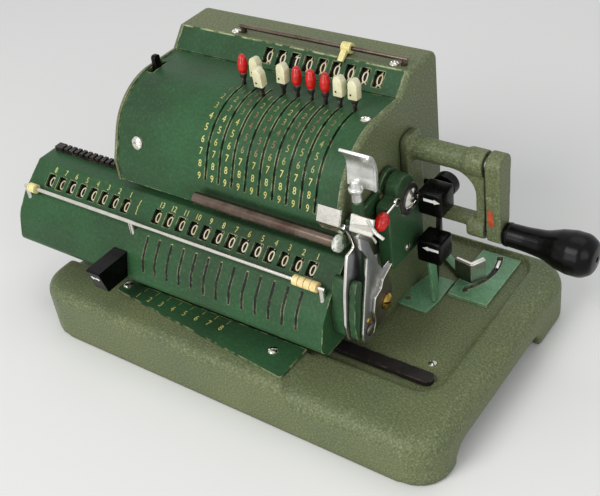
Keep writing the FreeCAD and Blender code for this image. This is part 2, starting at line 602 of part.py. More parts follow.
# Rails of the carriage: a bar let into the deck and a guide between the side walls.
front_bar = new_body("front_bar")
pad(front_bar, "XY", [
    ("rail_left", "rail_front"), ("rail_right", "rail_front", "(rail_rear - rail_front) / 2.1"),
    ("rail_right", "rail_rear", "(rail_rear - rail_front) / 2.1"), ("rail_left", "rail_rear"),
], "rail_low", "rail_top - rail_low")
rear_bar = box("rear_bar", "inner_left", "guide_front", "guide_low", "inner_length",
               "guide_rear - guide_front", "guide_high - guide_low")
keep(group("carriage_rail", front_bar, rear_bar))

# Marker rod on top of the hood.
posts = [rod("rod_post", "z", end, "hood_rod_y", "hood_top", "post_radius", "hood_rod_rise")
         for end in ("hood_rod_left", "hood_rod_right")]
bar = rod("top_rod", "x", "hood_rod_left - 2", "hood_rod_y", "rod_z", "rod_radius",
          "hood_rod_right - hood_rod_left + 4")
keep(fuse("hood_rod", bar, *posts))

# Screw heads: on the cover, beside the marker rod, on the platform, and the cap on the housing.
def radial_screw(name, x, angle, radius):
    """A head that stands square on the drum cover; along is the way down its flat front."""
    item = doc.addObject("Part::Cylinder", name)
    bind(item, Radius=radius, Height="screw_height")
    along = f"({angle} - cover_arc_end)" if number(angle) > number("cover_arc_end") else "0"
    flat = f"min({angle}; cover_arc_end)"
    return place(item, x,
                 f"drum_y + cover_radius * cos({flat}) - {along} * sin({flat})",
                 f"drum_z + cover_radius * sin({flat}) + {along} * cos({flat})",
                 (1, 0, 0), f"{flat} - 90")


screws = [
    radial_screw("cover_screw", "cover_screw_x", "cover_arc_end + 5", "cover_screw_radius"),
    radial_screw("edge_screw", "inner_right - screw_radius - 1", "92", "screw_radius"),
    rod("rod_screw_left", "z", "hood_rod_left - 4", "hood_rod_y - 1.5", "hood_top", "screw_radius",
        "screw_height"),
    rod("rod_screw_right", "z", "hood_rod_right - 4.5", "hood_rod_y - 1.5", "hood_top", "screw_radius",
        "screw_height"),
    rod("scale_screw_left", "z", "scale_left + 4", "platform_rear - 4.5",
        "platform_height + scale_thickness", "screw_radius", "screw_height / 2"),
    rod("scale_screw_right", "z", "platform_right - 14", "platform_rear - 9.5",
        "platform_height + scale_thickness", "screw_radius", "screw_height / 2"),
    rod("deck_screw", "z", "deck_screw_x", "deck_screw_y", "deck_height", "screw_radius",
        "screw_height / 2"),
    rod("housing_cap", "x", "housing_right", "drum_y", "drum_z", "cap_radius", "cap_thickness"),
    rod("housing_screw", "x", "housing_right", "drum_y - 2", "housing_foot + 5", "screw_radius * 0.8",
        "screw_height / 2"),
]
keep(group("casing_screws", *screws))

# Shafts and drums inside the casing.
keep(rod("dial_shaft", "x", "shaft_left", "dial_y", "dial_z", "spindle_radius", "shaft_right - shaft_left"))
drum = keep(new_body("pinwheel_drum"))
pad(drum, "YZ", ("drum_y", "drum_z", "drum_core"), "last_digit_x - disc_width",
    "gear_x - last_digit_x + disc_width")
disc = pad(drum, "YZ", ("drum_y", "drum_z", "drum_radius"), "first_digit_x - disc_width / 2", "disc_width")
repeat(drum, disc, "slot_count", "pitch")
pocket(drum, "YZ", ("drum_y", "drum_z", "shaft_radius + running_gap"), "last_digit_x - disc_width - 1",
       "first_digit_x - last_digit_x + 2 * disc_width + 2")
keep(fuse("drum_shaft",
          rod("drum_axle", "x", "frame_left", "drum_y", "drum_z", "shaft_radius",
              "frame_right - frame_left + 1"),
          rod("drum_gear", "x", "gear_x", "drum_y", "drum_z", "gear_radius", "gear_width")))

# Crank: shaft with its gear, arm with the spindle, grip and latch pin.
keep(fuse("crank_shaft",
          rod("crank_axle", "x", "gear_x", "crank_y", "crank_z", "shaft_radius", "arm_inner - (gear_x)"),
          rod("crank_gear", "x", "gear_x", "crank_y", "crank_z", "gear_radius", "gear_width")))
arm = keep(new_body("crank_arm"))
pad(arm, "YZ", [
    ("crank_y - arm_half_depth", "latch_z - latch_boss", "arm_half_depth * 0.9"),
    ("crank_y + arm_half_depth", "latch_z - latch_boss", "arm_half_depth * 0.9"),
    ("crank_y + boss_radius", "crank_z + boss_radius", "boss_radius * 0.8"),
    ("crank_y - boss_radius", "crank_z + boss_radius", "boss_radius * 0.8"),
], "arm_inner", "arm_outer - arm_inner")
pad(arm, "YZ", ("crank_y", "latch_z", "spindle_radius"), "arm_outer",
    "grip_end - grip_bulb / 2 - arm_outer")
grip = keep(new_body("crank_grip"))
bore = "spindle_radius + running_gap"
turned(grip, [
    ("arm_outer + grip_gap", bore), ("arm_outer + grip_gap", "grip_neck", 1),
    ("arm_outer + grip_bulb * 1.5", "grip_waist", "grip_waist_round"),
    ("grip_end - grip_bulb * 1.2", "grip_bulb", "grip_bulb_round"),
    ("grip_end", "grip_bulb", "grip_bulb * 0.95"), ("grip_end", 0),
    ("grip_end - grip_bulb / 2 + grip_gap", 0), ("grip_end - grip_bulb / 2 + grip_gap", bore),
], "latch_z", "crank_y")
keep(rod("crank_latch_pin", "x", "loop_right - latch_boss_length + 5", "crank_y", "latch_z", "latch_radius",
         "arm_inner - latch_gap - loop_right + latch_boss_length - 5"))

# Carriage: skin with its windows and slits, closed by a plate at each end.
carriage_path = [
    ("tray_rear", "face_rear_z"), ("face_rear_y", "face_rear_z", 2), ("face_front_y", "face_front_z", 4),
    ("belly_y", "belly_z", "belly_round"), ("skirt_y", "skirt_z", 4), ("lip_y", "lip_z", 3),
    ("lip_end", "lip_z"),
]
carriage_side = carriage_path + [("tray_rear", "lip_z + 6")]
carriage = keep(new_body("carriage_cover"))
pad(carriage, "YZ", strip(carriage_path, "sheet"), "carriage_left", "carriage_right - carriage_left")
pad(carriage, "YZ", carriage_side, "carriage_left", "end_wall")
pad(carriage, "YZ", carriage_side, "carriage_right - end_wall", "end_wall")
view = window("face_y", "face_z", "face_tilt", "register_window_height")
result_windows = pocket(carriage, "YZ", view, "first_digit_x - register_window_width / 2",
                        "register_window_width")
repeat(carriage, result_windows, "result_count", "pitch")
counter_windows = pocket(carriage, "YZ", view, "counter_digit_x - register_window_width / 2",
                         "register_window_width")
repeat(carriage, counter_windows, "counter_count", "pitch")
slits = pocket(carriage, "YZ", [
    ("skirt_y - 5", "slit_low"), ("belly_y + 3", "slit_low"), ("face_front_y + 3", "slit_high"),
    ("skirt_y - 5", "slit_high"),
], "first_digit_x - slit_width / 2", "slit_width")
repeat(carriage, slits, "result_count", "pitch")

# Carriage frame: floor and back inside the skin, two shoes on the rail, toothed rack on top.
floor = box("carriage_floor", "inner_register_left", "lip_end", "lip_z", "register_length",
            "tray_rear - lip_end", "tray_floor")
back = box("carriage_back", "inner_register_left", "tray_rear - tray_thickness", "lip_z", "register_length",
           "tray_thickness", "face_rear_z - sheet - lip_z")
shoes = []
for shoe_x in ("shoe_right - shoe_length", "shoe_left"):
    blank = box("shoe_blank", shoe_x, "rail_front - 3", "deck_height + rail_clearance", "shoe_length",
                "rail_rear - rail_front + 6", "lip_z - deck_height - rail_clearance")
    channel = box("shoe_channel", f"{shoe_x} - 1", "rail_front - rail_clearance", "deck_height - 1",
                  "shoe_length + 2", "rail_rear - rail_front + 2 * rail_clearance",
                  "rail_top - deck_height + 1 + rail_clearance")
    shoes.append(cut("shoe", blank, channel))
rack = new_body("rack")
pad(rack, "YZ", [
    ("tray_rear - rack_depth", "face_rear_z"), ("tray_rear", "face_rear_z"),
    ("tray_rear", "rack_high"), ("tray_rear - rack_depth", "rack_high"),
], "inner_register_left", "register_length")
gaps = pocket(rack, "YZ", [
    ("tray_rear - rack_depth - 1", "face_rear_z + 1"), ("tray_rear + 1", "face_rear_z + 1"),
    ("tray_rear + 1", "rack_high + 1"), ("tray_rear - rack_depth - 1", "rack_high + 1"),
], "carriage_right - end_wall - rack_pitch", "rack_gap")
repeat(rack, gaps, "floor((register_length - rack_pitch) / rack_pitch)", "rack_pitch")
keep(group("carriage_frame", fuse("carriage_tray", floor, back, *shoes), rack))

# Rod for the decimal markers, on three posts that stand on the skin.
envelope = new_body("carriage_envelope")
pad(envelope, "YZ", carriage_side, "carriage_left", "carriage_right - carriage_left")
stands = [rod("marker_post", "z", post_x, "marker_rod_y", "face_front_z - 4", "post_radius",
              "marker_rod_z - face_front_z + 4")
          for post_x in ("marker_rod_left + 1", "marker_rod_middle", "marker_rod_right - 1")]
long_rod = rod("long_rod", "x", "marker_rod_left - 1", "marker_rod_y", "marker_rod_z", "rod_radius",
               "marker_rod_right - marker_rod_left + 2")
keep(cut("marker_rod", fuse("rod_on_posts", long_rod, *stands), envelope))


def marker(name, x, y, z, length):
    """A ring that slides along its rod."""
    outer = rod("marker_body", "x", x, y, z, "marker_radius", length)
    hole = rod("marker_hole", "x", f"{x} - 1", y, z, "rod_radius + running_gap", f"{length} + 2")
    return cut(name, outer, hole)


keep(marker("counter_marker", "marker_rod_left + 1 + post_radius + marker_gap",
            "marker_rod_y", "marker_rod_z", "marker_length"))
keep(group("result_markers", *[
    marker(f"result_marker_{place_number}",
           f"marker_rod_right - 1 - post_radius - {place_number + 1} * (marker_short + marker_gap)",
           "marker_rod_y", "marker_rod_z", "marker_short") for place_number in range(SIZES["marker_count"])]))

# Number wheels of both registers on one shaft.
keep(rod("register_shaft", "x", "inner_register_left", "wheel_y", "wheel_z", "spindle_radius",
         "register_length"))
for name, first, count in (("result_wheels", "first_digit_x", "result_count"),
                           ("counter_wheels", "counter_digit_x", "counter_count")):
    wheels = keep(new_body(name))
    last = f"({first} - pitch * ({count} - 1) - wheel_width / 2)"
    run = f"(pitch * ({count} - 1) + wheel_width)"
    pad(wheels, "YZ", ("wheel_y", "wheel_z", "wheel_core"), last, run)
    wheel = pad(wheels, "YZ", ("wheel_y", "wheel_z", "number_radius"), f"{first} - wheel_width / 2",
                "wheel_width")
    repeat(wheels, wheel, count, "pitch")
    pocket(wheels, "YZ", ("wheel_y", "wheel_z", "spindle_radius + running_gap"), f"{last} - 1",
           f"{run} + 2")

# Clearing levers: two thin plates on one stud, each bent into a wing at the top.
wing_section = [
    ("wing_y", "wing_low"), ("wing_y - wing_lean", "wing_low + wing_rise"),
    ("wing_y - wing_lean + lever_sheet", "wing_low + wing_rise"), ("wing_y + lever_sheet", "wing_low"),
]
near_edge = [
    (-8, -5, 5), (6, -5, 5), (5, 11, 8), (6.5, 31, 8), (9.5, 44.5, 3), (6.5, 53, 6),
]
near_front = [(-0.5, 55, 4), (3, 44, 1), (-2.9, 43, 1.5), (-7.5, 25, 20), (-10, 7, 8)]
far_edge = [
    (-5, -6, 4), (4, -7, 2), (7.5, -3, 2), (8, 8, 3), (12, 12, 3), (24, 16, 2), (26.5, 23, 1.5),
    (15.5, 26, 2), (11.5, 31, 3), (12, 36, 0.8), (9.5, 37, 2), (6, 47, 3), (5.5, 53, 3),
]
far_front = [(-0.5, 55, 3), (0, 46, 2), (4, 39, 3), (-1.5, 17, 8), (-5, 1, 6)]


def clearing_lever(name, middle, rear, front, wing_start, wing_length):
    lever = keep(new_body(name))
    top = [("wing_y + lever_sheet", "wing_low + 2"), ("wing_y", "wing_low")]
    side = [(f"lever_y + {across}", f"lever_z + {up}", radius) for across, up, radius in rear] + top
    side += [(f"lever_y + {across}", f"lever_z + {up}", radius) for across, up, radius in front]
    pad(lever, "YZ", side, f"{middle} - lever_sheet / 2", "lever_sheet")
    pad(lever, "YZ", wing_section, wing_start, wing_length)
    pocket(lever, "YZ", ("lever_y", "lever_z", "stud_radius + running_gap"), f"{middle} - lever_sheet",
           "2 * lever_sheet")


clearing_lever("result_clear_lever", "near_lever_x", near_edge, near_front, "wing_near_left",
               "near_lever_x + lever_sheet / 2 - wing_near_left")
clearing_lever("counter_clear_lever", "far_lever_x", far_edge, far_front, "far_lever_x - lever_sheet / 2",
               "wing_far_right - far_lever_x + lever_sheet / 2")
hub_left, hub_right = "plate_x - plate_thickness / 2", "plate_x + plate_thickness / 2"
keep(fuse(
    "clear_lever_hub",
    rod("hub_disc", "x", hub_left, "plate_y", "plate_z", "plate_radius", "plate_thickness"),
    rod("hub_stud", "x", "carriage_right", "lever_y", "lever_z", "stud_radius",
        "stud_end - carriage_right"),
    rod("hub_collar", "x", "carriage_right", "lever_y", "lever_z", "collar_radius",
        "near_lever_x - lever_sheet / 2 - running_gap - carriage_right"),
    rod("hub_nut", "x", "far_lever_x + lever_sheet / 2 + running_gap", "lever_y", "lever_z",
        "collar_radius",
        "stud_end - far_lever_x - lever_sheet / 2 - running_gap"),
    rod("hub_standoff", "x", "carriage_right", "plate_y + 7.4", "plate_z - 6", "collar_radius",
        f"{hub_left} - carriage_right"),
    rod("hub_screw", "x", hub_right, "hub_screw_y", "hub_screw_z", "hub_screw_radius", "hub_screw_height")))

# Handle block on the lower front of the carriage.
block = keep(new_body("carriage_knob"))
slant = "(skirt_y - belly_y) / (belly_z - skirt_z)"
pad(block, "YZ", [
    ("block_front", "block_high", "block_round"), ("block_front + block_lean", "block_low", "block_round"),
    (f"belly_y + (belly_z - block_low) * {slant}", "block_low"),
    (f"belly_y + (belly_z - block_high) * {slant}", "block_high"),
], "block_left", "block_width")

# Clearing bar of the setting levers: hub on the sleeve, arm, bar and thumb tab.
def radial_box(name, angle, x, length, half, start, height):
    """A box that runs outward from the drum axis at the angle."""
    item = doc.addObject("Part::Box", name)
    bind(item, Length=length, Width=f"2 * {half}", Height=height)
    tilt = f"({angle} - 90)"
    return place(item, x, f"drum_y - {half} * cos({tilt}) - {start} * sin({tilt})",
                 f"drum_z - {half} * sin({tilt}) + {start} * cos({tilt})", (1, 0, 0), tilt)


arms = fuse(
    "bar_and_arms",
    rod("bar_hub", "x", "arm_left", "drum_y", "drum_z", "hub_radius", "arm_width"),
    rod("bar_eye", "x", "arm_left", "bar_y", "bar_z", "bar_boss", "arm_width"),
    rod("clearing_rod", "x", "bar_left", "bar_y", "bar_z", "bar_radius", "arm_left + arm_width - bar_left"),
    radial_box("bar_arm", "bar_angle", "arm_left", "arm_width", "arm_half", 0, "bar_reach"),
    box("tab_lug", "arm_left", "tab_y - tab_lug", "bar_z", "tab_stem_x - arm_left", "2 * tab_lug",
        "tab_foot - bar_z"),
    rod("tab_stub", "z", "tab_stem_x", "tab_y", "tab_foot - 1", "tab_stem_radius", "tab_stub - tab_foot + 1"))
keep(cut("clear_bar", arms, rod("hub_hole", "x", "arm_left - 1", "drum_y", "drum_z",
                                "sleeve_radius + running_gap", "arm_width + 2")))
tab = new_body("tab_plate")
pad(tab, "YZ", strip([
    ("tab_y + 1", "tab_low"), ("tab_y + 1.3", "tab_low * 0.45 + tab_high * 0.55", 14),
    ("tab_y - tab_lean", "tab_high"),
], "-tab_thickness"), "tab_left", "tab_width")
keep(fuse(
    "clear_bar_tab", tab,
    rod("tab_stem", "z", "tab_stem_x", "tab_y", "tab_stub", "tab_stem_radius * 0.9",
        "tab_low - tab_stub + 1"),
    rod("tab_collar", "z", "tab_stem_x", "tab_y", "tab_collar", "tab_stem_radius + 1", "2")))

# Setting levers: ring segment under the cover, blade through the slot, stem and knob.
def setting_lever(name, x, angle):
    lever = keep(new_body(name))
    half = "blade_span / 2"
    left = "-blade_width / 2"
    pad(lever, "YZ", [
        (f"-blade_inner * sin({half})", f"blade_inner * cos({half})", 0, "-blade_inner"),
        (f"blade_inner * sin({half})", f"blade_inner * cos({half})"),
        (f"blade_outer * sin({half})", f"blade_outer * cos({half})", 0, "blade_outer"),
        (f"-(blade_outer) * sin({half})", f"blade_outer * cos({half})"),
    ], left, "blade_width")
    pad(lever, "YZ", [
        ("-blade_half", "blade_inner + 1"), ("blade_half", "blade_inner + 1"),
        ("blade_half", "stem_start + 0.5"), ("-blade_half", "stem_start + 0.5"),
    ], left, "blade_width")
    pad(lever, "XY", (0, 0, "stem_radius"), "stem_start", "knob_start - stem_start + 1")
    knob = pad(lever, "XY", (0, 0, "knob_radius"), "knob_start", "knob_length")
    rounded(lever, knob, "knob_round", lambda point: near(point.z, "knob_start + knob_length"))
    place(lever, x, "drum_y", "drum_z", (1, 0, 0), angle)


for slot_number in range(1, SIZES["slot_count"] + 1):
    digit = 1 if slot_number == SIZES["set_slot"] else 0
    slot_x = f"first_digit_x - pitch * {slot_number - 1}"
    setting_lever(f"setting_lever_{slot_number}", slot_x, f"zero_angle + {digit} * digit_angle - 90")
    wheel = rod("dial_blank", "x", f"{slot_x} - dial_width / 2", "dial_y", "dial_z", "dial_radius",
                "dial_width")
    hole = rod("dial_hole", "x", f"{slot_x} - dial_width", "dial_y", "dial_z",
               "spindle_radius + running_gap", "2 * dial_width")
    keep(cut(f"setting_dial_{slot_number}", wheel, hole))

# Cover finger on the left, hinged like the setting levers.
finger = keep(new_body("cover_lever"))
half_span = "blade_span / 3"
pad(finger, "YZ", [
    (f"-finger_foot * sin({half_span})", f"finger_foot * cos({half_span})", 0, "-finger_foot"),
    (f"finger_foot * sin({half_span})", f"finger_foot * cos({half_span})"),
    (f"blade_outer * sin({half_span})", f"blade_outer * cos({half_span})", 0, "blade_outer"),
    (f"-(blade_outer) * sin({half_span})", f"blade_outer * cos({half_span})"),
], "-finger_width / 2", "finger_width")
pad(finger, "YZ", [
    ("-finger_half", "finger_foot + 1"), ("finger_half", "finger_foot + 1"),
    ("finger_half", "finger_top", "finger_half * 0.9"), ("-finger_half", "finger_top", "finger_half * 0.9"),
], "-finger_width / 2", "finger_width")
place(finger, "finger_x", "drum_y", "drum_z", (1, 0, 0), "finger_angle - 90")

# Shift keys: a square key on a flat stem, both on the pin of the key plate.
def shift_key(name, key_y, key_z, stem_y):
    key = keep(new_body(name))
    cube = pad(key, "YZ", [
        (f"{key_y} - key_half", f"{key_z} - key_half"), (f"{key_y} + key_half", f"{key_z} - key_half"),
        (f"{key_y} + key_half", f"{key_z} + key_half"), (f"{key_y} - key_half", f"{key_z} + key_half"),
    ], "key_x - key_half", "key_size")
    rounded(key, cube, "key_round", lambda point: True)
    pad(key, "XZ", [
        ("key_pivot_x - key_stem_width / 2", "key_pivot_z - 3", 2), ("key_pivot_x + key_stem_width / 2",
                                                                     "key_pivot_z - 3", 2),
        ("key_x + 1", f"{key_z} - key_half + 1"), ("key_x - key_stem_width + 1", f"{key_z} - key_half + 1"),
    ], f"-{stem_y} - key_stem / 2", "key_stem")
    pocket(key, "XZ", ("key_pivot_x", "key_pivot_z", "key_pin_radius + running_gap"),
           f"-{stem_y} - key_stem",
           "2 * key_stem")


shift_key("shift_right_key", "right_key_y", "right_key_z", "right_stem_y")
shift_key("shift_left_key", "left_key_y", "left_key_z", "left_stem_y")

# Thumb piece: a bent upright plate on a flat tang that turns about the latch pin.
thumb = keep(new_body("latch_thumb"))
along_x, along_y = "((thumb_x - latch_hinge_x) / tang_reach)", "((thumb_y - latch_hinge_y) / tang_reach)"


def tang_corner(reach, side, radius=0):
    return (f"latch_hinge_x + ({reach}) * {along_x} - ({side}) * tang_width / 2 * {along_y}",
            f"latch_hinge_y + ({reach}) * {along_y} + ({side}) * tang_width / 2 * {along_x}", radius)


tang_z = "deck_top + seat_gap"
pad(thumb, "XY", [tang_corner("-3", -1, 2.2), tang_corner("tang_reach - 0.6", -1),
                  tang_corner("tang_reach - 0.6", 1), tang_corner("-3", 1, 2.2)], tang_z, "thumb_sheet")
pad(thumb, "XY", strip([
    ("thumb_x - thumb_left * cos(thumb_turn)", "thumb_y - thumb_left * sin(thumb_turn)"),
    ("thumb_x", "thumb_y", "thumb_sheet + 1"),
    ("thumb_x + thumb_right * cos(thumb_turn + 40)", "thumb_y + thumb_right * sin(thumb_turn + 40)"),
], "thumb_sheet"), tang_z, f"thumb_top - ({tang_z})")
pocket(thumb, "XY", ("latch_hinge_x", "latch_hinge_y", "key_pin_radius + running_gap"), f"{tang_z} - 1",
       "thumb_sheet + 2")

# Small lever with a bead, on the pin of the key housing.
bead_x = "housing_right + running_gap"
bead = new_body("bead")
barrel = pad(bead, "XY", (0, 0, "bead_radius"), "-bead_length / 2", "bead_length")
rounded(bead, barrel, "bead_radius * 0.9", lambda point: True)
place(bead, f"{bead_x} + bead_eye_width / 2", "bead_rod_end - 3", "bead_z - 2.4", (1, 0, 0), "45")
bead_parts = fuse(
    "bead_on_wire", bead,
    rod("bead_eye_blank", "x", bead_x, "bead_y", "bead_z", "bead_eye", "bead_eye_width"),
    rod("bead_wire", "y", f"{bead_x} + bead_eye_width / 2", "bead_rod_end - 2", "bead_z", "bead_rod_radius",
        "bead_y - bead_rod_end - bead_pin + 1"))
keep(cut("bead_lever", bead_parts, rod("bead_hole", "x", "housing_right", "bead_y", "bead_z",
                                       "bead_pin + running_gap", "2 * bead_eye_width")))

# Round knob on a short arm behind the bracket.
knob_arm = new_body("knob_arm")
pad(knob_arm, "YZ", [
    ("knob_arm_y - 2.5", "knob_arm_z - 2.5", 2), ("knob_arm_y + 2.5", "knob_arm_z - 2.5", 2),
    ("round_knob_y + round_knob_length + 2.5", "round_knob_z + 2.5", 1),
    ("round_knob_y + round_knob_length - 0.5", "round_knob_z + 2.5", 1),
], "round_knob_x - 1.5", "3")
keep(fuse(
    "reverse_knob", knob_arm,
    rod("knob_pin", "x", "casing_right + running_gap", "knob_arm_y", "knob_arm_z", "key_pin_radius",
        "round_knob_x - casing_right - running_gap"),
    rod("round_knob", "y", "round_knob_x", "round_knob_y", "round_knob_z", "round_knob_radius",
        "round_knob_length")))

# Marker on the hood rod with a pointer over the panel.
pointer = new_body("pointer")
pad(pointer, "YZ", [
    ("hood_rod_y + 1", "rod_z + 1.7"), ("hood_rod_y - 3.5", "rod_z + 0.2"),
    ("panel_high_y - 3", "hood_top - 0.4"), ("panel_high_y - 2.3", "hood_top - 1.1"),
    ("panel_high_y + 1.5", "hood_top + 1.2"), ("hood_rod_y - 0.5", "rod_z - 1.8"),
], "hood_marker_x - marker_short / 2", "marker_short")
ring_body = rod("ring_body", "x", "hood_marker_x - marker_length / 2", "hood_rod_y", "rod_z",
                "marker_radius", "marker_length")
ring_hole = rod("ring_hole", "x", "hood_marker_x - marker_length", "hood_rod_y", "rod_z",
                "rod_radius + running_gap", "2 * marker_length")
keep(cut("hood_marker", fuse("marker_ring", pointer, ring_body), ring_hole))


doc.recompute()
broken = []
for item in doc.Objects:
    if "Invalid" in item.State or "Error" in item.State:
        broken.append(f"{item.Label}: {item.State}")
for item in NODES:
    if item.Shape.isNull() or not item.Shape.isValid() or not item.Shape.Solids:
        broken.append(f"{item.Label}: no valid solid")
if broken:
    raise SystemExit("\n".join(broken))
os.makedirs("parts", exist_ok=True)
for item in NODES:
    item.Shape.exportStep(f"parts/{item.Label}.step")
print(len(NODES), "sub-parts")
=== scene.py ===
import json
import math
import bmesh
import bpy
from mathutils import Matrix, Vector

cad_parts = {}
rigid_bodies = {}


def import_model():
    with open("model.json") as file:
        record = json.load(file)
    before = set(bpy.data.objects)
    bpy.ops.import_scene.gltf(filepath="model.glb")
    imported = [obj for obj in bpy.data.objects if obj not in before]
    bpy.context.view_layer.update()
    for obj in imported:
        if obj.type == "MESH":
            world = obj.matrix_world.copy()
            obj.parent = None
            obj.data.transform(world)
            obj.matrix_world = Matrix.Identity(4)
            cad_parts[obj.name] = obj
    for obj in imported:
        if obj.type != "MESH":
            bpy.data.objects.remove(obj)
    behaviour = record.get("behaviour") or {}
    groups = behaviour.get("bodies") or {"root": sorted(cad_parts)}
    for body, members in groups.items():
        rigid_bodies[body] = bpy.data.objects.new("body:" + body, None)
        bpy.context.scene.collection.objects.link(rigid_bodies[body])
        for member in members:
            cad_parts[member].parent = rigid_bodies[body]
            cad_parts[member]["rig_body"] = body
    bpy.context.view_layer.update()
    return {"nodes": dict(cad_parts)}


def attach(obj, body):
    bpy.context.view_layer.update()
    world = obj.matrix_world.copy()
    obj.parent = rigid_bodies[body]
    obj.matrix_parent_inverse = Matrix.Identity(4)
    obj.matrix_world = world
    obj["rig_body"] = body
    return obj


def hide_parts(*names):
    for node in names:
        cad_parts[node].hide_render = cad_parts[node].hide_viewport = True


# Pinwheel calculator: +X to the crank, +Y to the rear, +Z up.
# Pieces are drawn in millimetres and brought to metres when they are added.
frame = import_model()
cadNodes = frame["nodes"]
print("frame loaded:", len(cadNodes), "nodes")
alongX, alongZ = (1, 0, 0), (0, 0, 1)
rimAngle = 1.2  # a plate's rim is where faces meet more sharply than this, in radians
mergeReach = 0.002  # points nearer than this are one point
inkLift = 0.01  # marks stand this far off their ground


# ---- materials
def linear(hexText):
    parts = [int(hexText[i:i + 2], 16) / 255 for i in (1, 3, 5)]
    return [p / 12.92 if p <= 0.04045 else ((p + 0.055) / 1.055) ** 2.4 for p in parts] + [1]


def addNode(tree, kind, settings, inputs):
    node = tree.nodes.new("ShaderNode" + kind)
    for name, value in settings.items():
        setattr(node, name, value)
    for name, value in inputs.items():
        if isinstance(value, bpy.types.NodeSocket):
            tree.links.new(value, node.inputs[name])
        else:
            node.inputs[name].default_value = value
    return node


def startMaterial(name, sockets):
    material = bpy.data.materials.new(name)
    material.use_nodes = True
    tree = material.node_tree
    surface = tree.nodes["Principled BSDF"]
    for socket, value in sockets.items():
        surface.inputs[socket].default_value = value
    place = addNode(tree, "TexCoord", {}, {}).outputs["Object"]
    return material, tree, surface, place


def perMetre(size):
    # a pattern's scale from its real size in millimetres
    return 1000 / size


def layered(tree, colour, layers):
    # lays colours over one another, each by how far its pattern has gone from low to high
    for pattern, low, high, most, over in layers:
        share = addNode(tree, "MapRange", {}, {0: pattern, 1: low, 2: high, 4: most}).outputs[0]
        laid = addNode(tree, "Mix", {"data_type": "RGBA"}, {0: share, 6: colour, 7: linear(over)})
        colour = laid.outputs[2]
    return colour


def finishSurface(tree, surface, look, colour, haze, hazeFrom, relief, strength, depth):
    # colour, a gloss that drifts with the haze, and a relief so many millimetres deep
    dull = addNode(tree, "MapRange", {}, {
        0: haze, 1: hazeFrom, 2: 0.7, 3: look["roughLow"], 4: look["roughHigh"]})
    height = addNode(tree, "Bump", {}, {"Height": relief, "Strength": strength, "Distance": depth / 1000})
    tree.links.new(colour, surface.inputs["Base Color"])
    tree.links.new(dull.outputs[0], surface.inputs["Roughness"])
    tree.links.new(height.outputs["Normal"], surface.inputs["Normal"])


def enamel(name, look):
    # paint on metal: cloudy tone, grain, rubbed edges, and painted shade darkening the corners
    material, tree, surface, place = startMaterial(name, {
        "Metallic": 0.0, "IOR": 1.5, "Specular IOR Level": look["shine"], "Coat Weight": look["coat"],
        "Coat Roughness": look["coatRoughness"]})
    clouds, grain, flecks = [
        addNode(tree, "TexNoise", {}, {"Vector": place, "Scale": perMetre(look[size]), "Detail": detail,
                                       "Roughness": rough}).outputs["Fac"]
        for size, detail, rough in (("cloud", 4.0, 0.6), ("grain", 2.0, 0.7), ("fleck", 3.0, 0.65))]
    # the outer occlusion finds corners and creases, where the corner shade colour is laid as painted shade
    corners, edges = [
        addNode(tree, "AmbientOcclusion", {"samples": 4, "inside": inside},
                {"Distance": look[reach] / 1000}).outputs["AO"]
        for reach, inside in (("cornerShadeReach", False), ("edge", True))]
    worn = addNode(tree, "MapRange", {}, {0: flecks, 1: look["rubFrom"], 2: look["rubTo"]}).outputs[0]
    colour = layered(tree, linear(look["base"]), [
        (clouds, 0.35, 0.65, 1.0, look["second"]),
        (grain, 0.52, 0.72, look["grainShare"], look["light"]),
        (grain, 0.48, 0.30, look["grainShare"], look["dark"]),
        (corners, 0.75, 0.2, look["cornerShadeShare"], look["cornerShade"]),
        (edges, 0.86, 0.60, worn, look["bare"])])
    finishSurface(tree, surface, look, colour, clouds, 0.3, grain, look["bump"], look["depth"])
    return material


def metal(name, look):
    # bare or plated metal: fine drawn scratches and a cloudy bloom
    material, tree, surface, place = startMaterial(name, {"Metallic": 1.0})
    drawn = addNode(tree, "Mapping", {}, {"Vector": place, "Scale": look.get("stretch", (1, 1, 1))})
    lines, bloom = [
        addNode(tree, "TexNoise", {}, {"Vector": vector, "Scale": perMetre(look[size]), "Detail": detail,
                                       "Roughness": 0.6}).outputs["Fac"]
        for vector, size, detail in ((drawn.outputs["Vector"], "line", 3.0), (place, "bloom", 4.0))]
    colour = layered(tree, linear(look["base"]), [
        (bloom, 0.4, 0.68, 1.0, look["second"]), (lines, 0.5, 0.8, 0.35, look["dark"])])
    finishSurface(tree, surface, look, colour, bloom, 0.3, lines, look["bump"], 0.03)
    return material


def resin(name, look):
    # moulded and polished plastic: an even body with small swirls and handling haze
    material, tree, surface, place = startMaterial(name, {
        "IOR": 1.5, "Specular IOR Level": look.get("shine", 0.45), "Coat Weight": look.get("coat", 0.0),
        "Coat Roughness": 0.08,
        "Subsurface Weight": look.get("depth", 0.0), "Subsurface Radius": (0.002, 0.001, 0.0006)})
    swirl = addNode(tree, "TexNoise", {}, {"Vector": place, "Scale": perMetre(look["swirl"]), "Detail": 3.0,
                                           "Distortion": 0.8}).outputs["Fac"]
    haze = addNode(tree, "TexNoise", {}, {"Vector": place, "Scale": perMetre(look["haze"]), "Detail": 5.0,
                                          "Roughness": 0.7}).outputs["Fac"]
    colour = layered(tree, linear(look["base"]), [(swirl, 0.4, 0.65, 1.0, look["second"])])
    finishSurface(tree, surface, look, colour, haze, 0.35, haze, 0.06, 0.05)
    return material


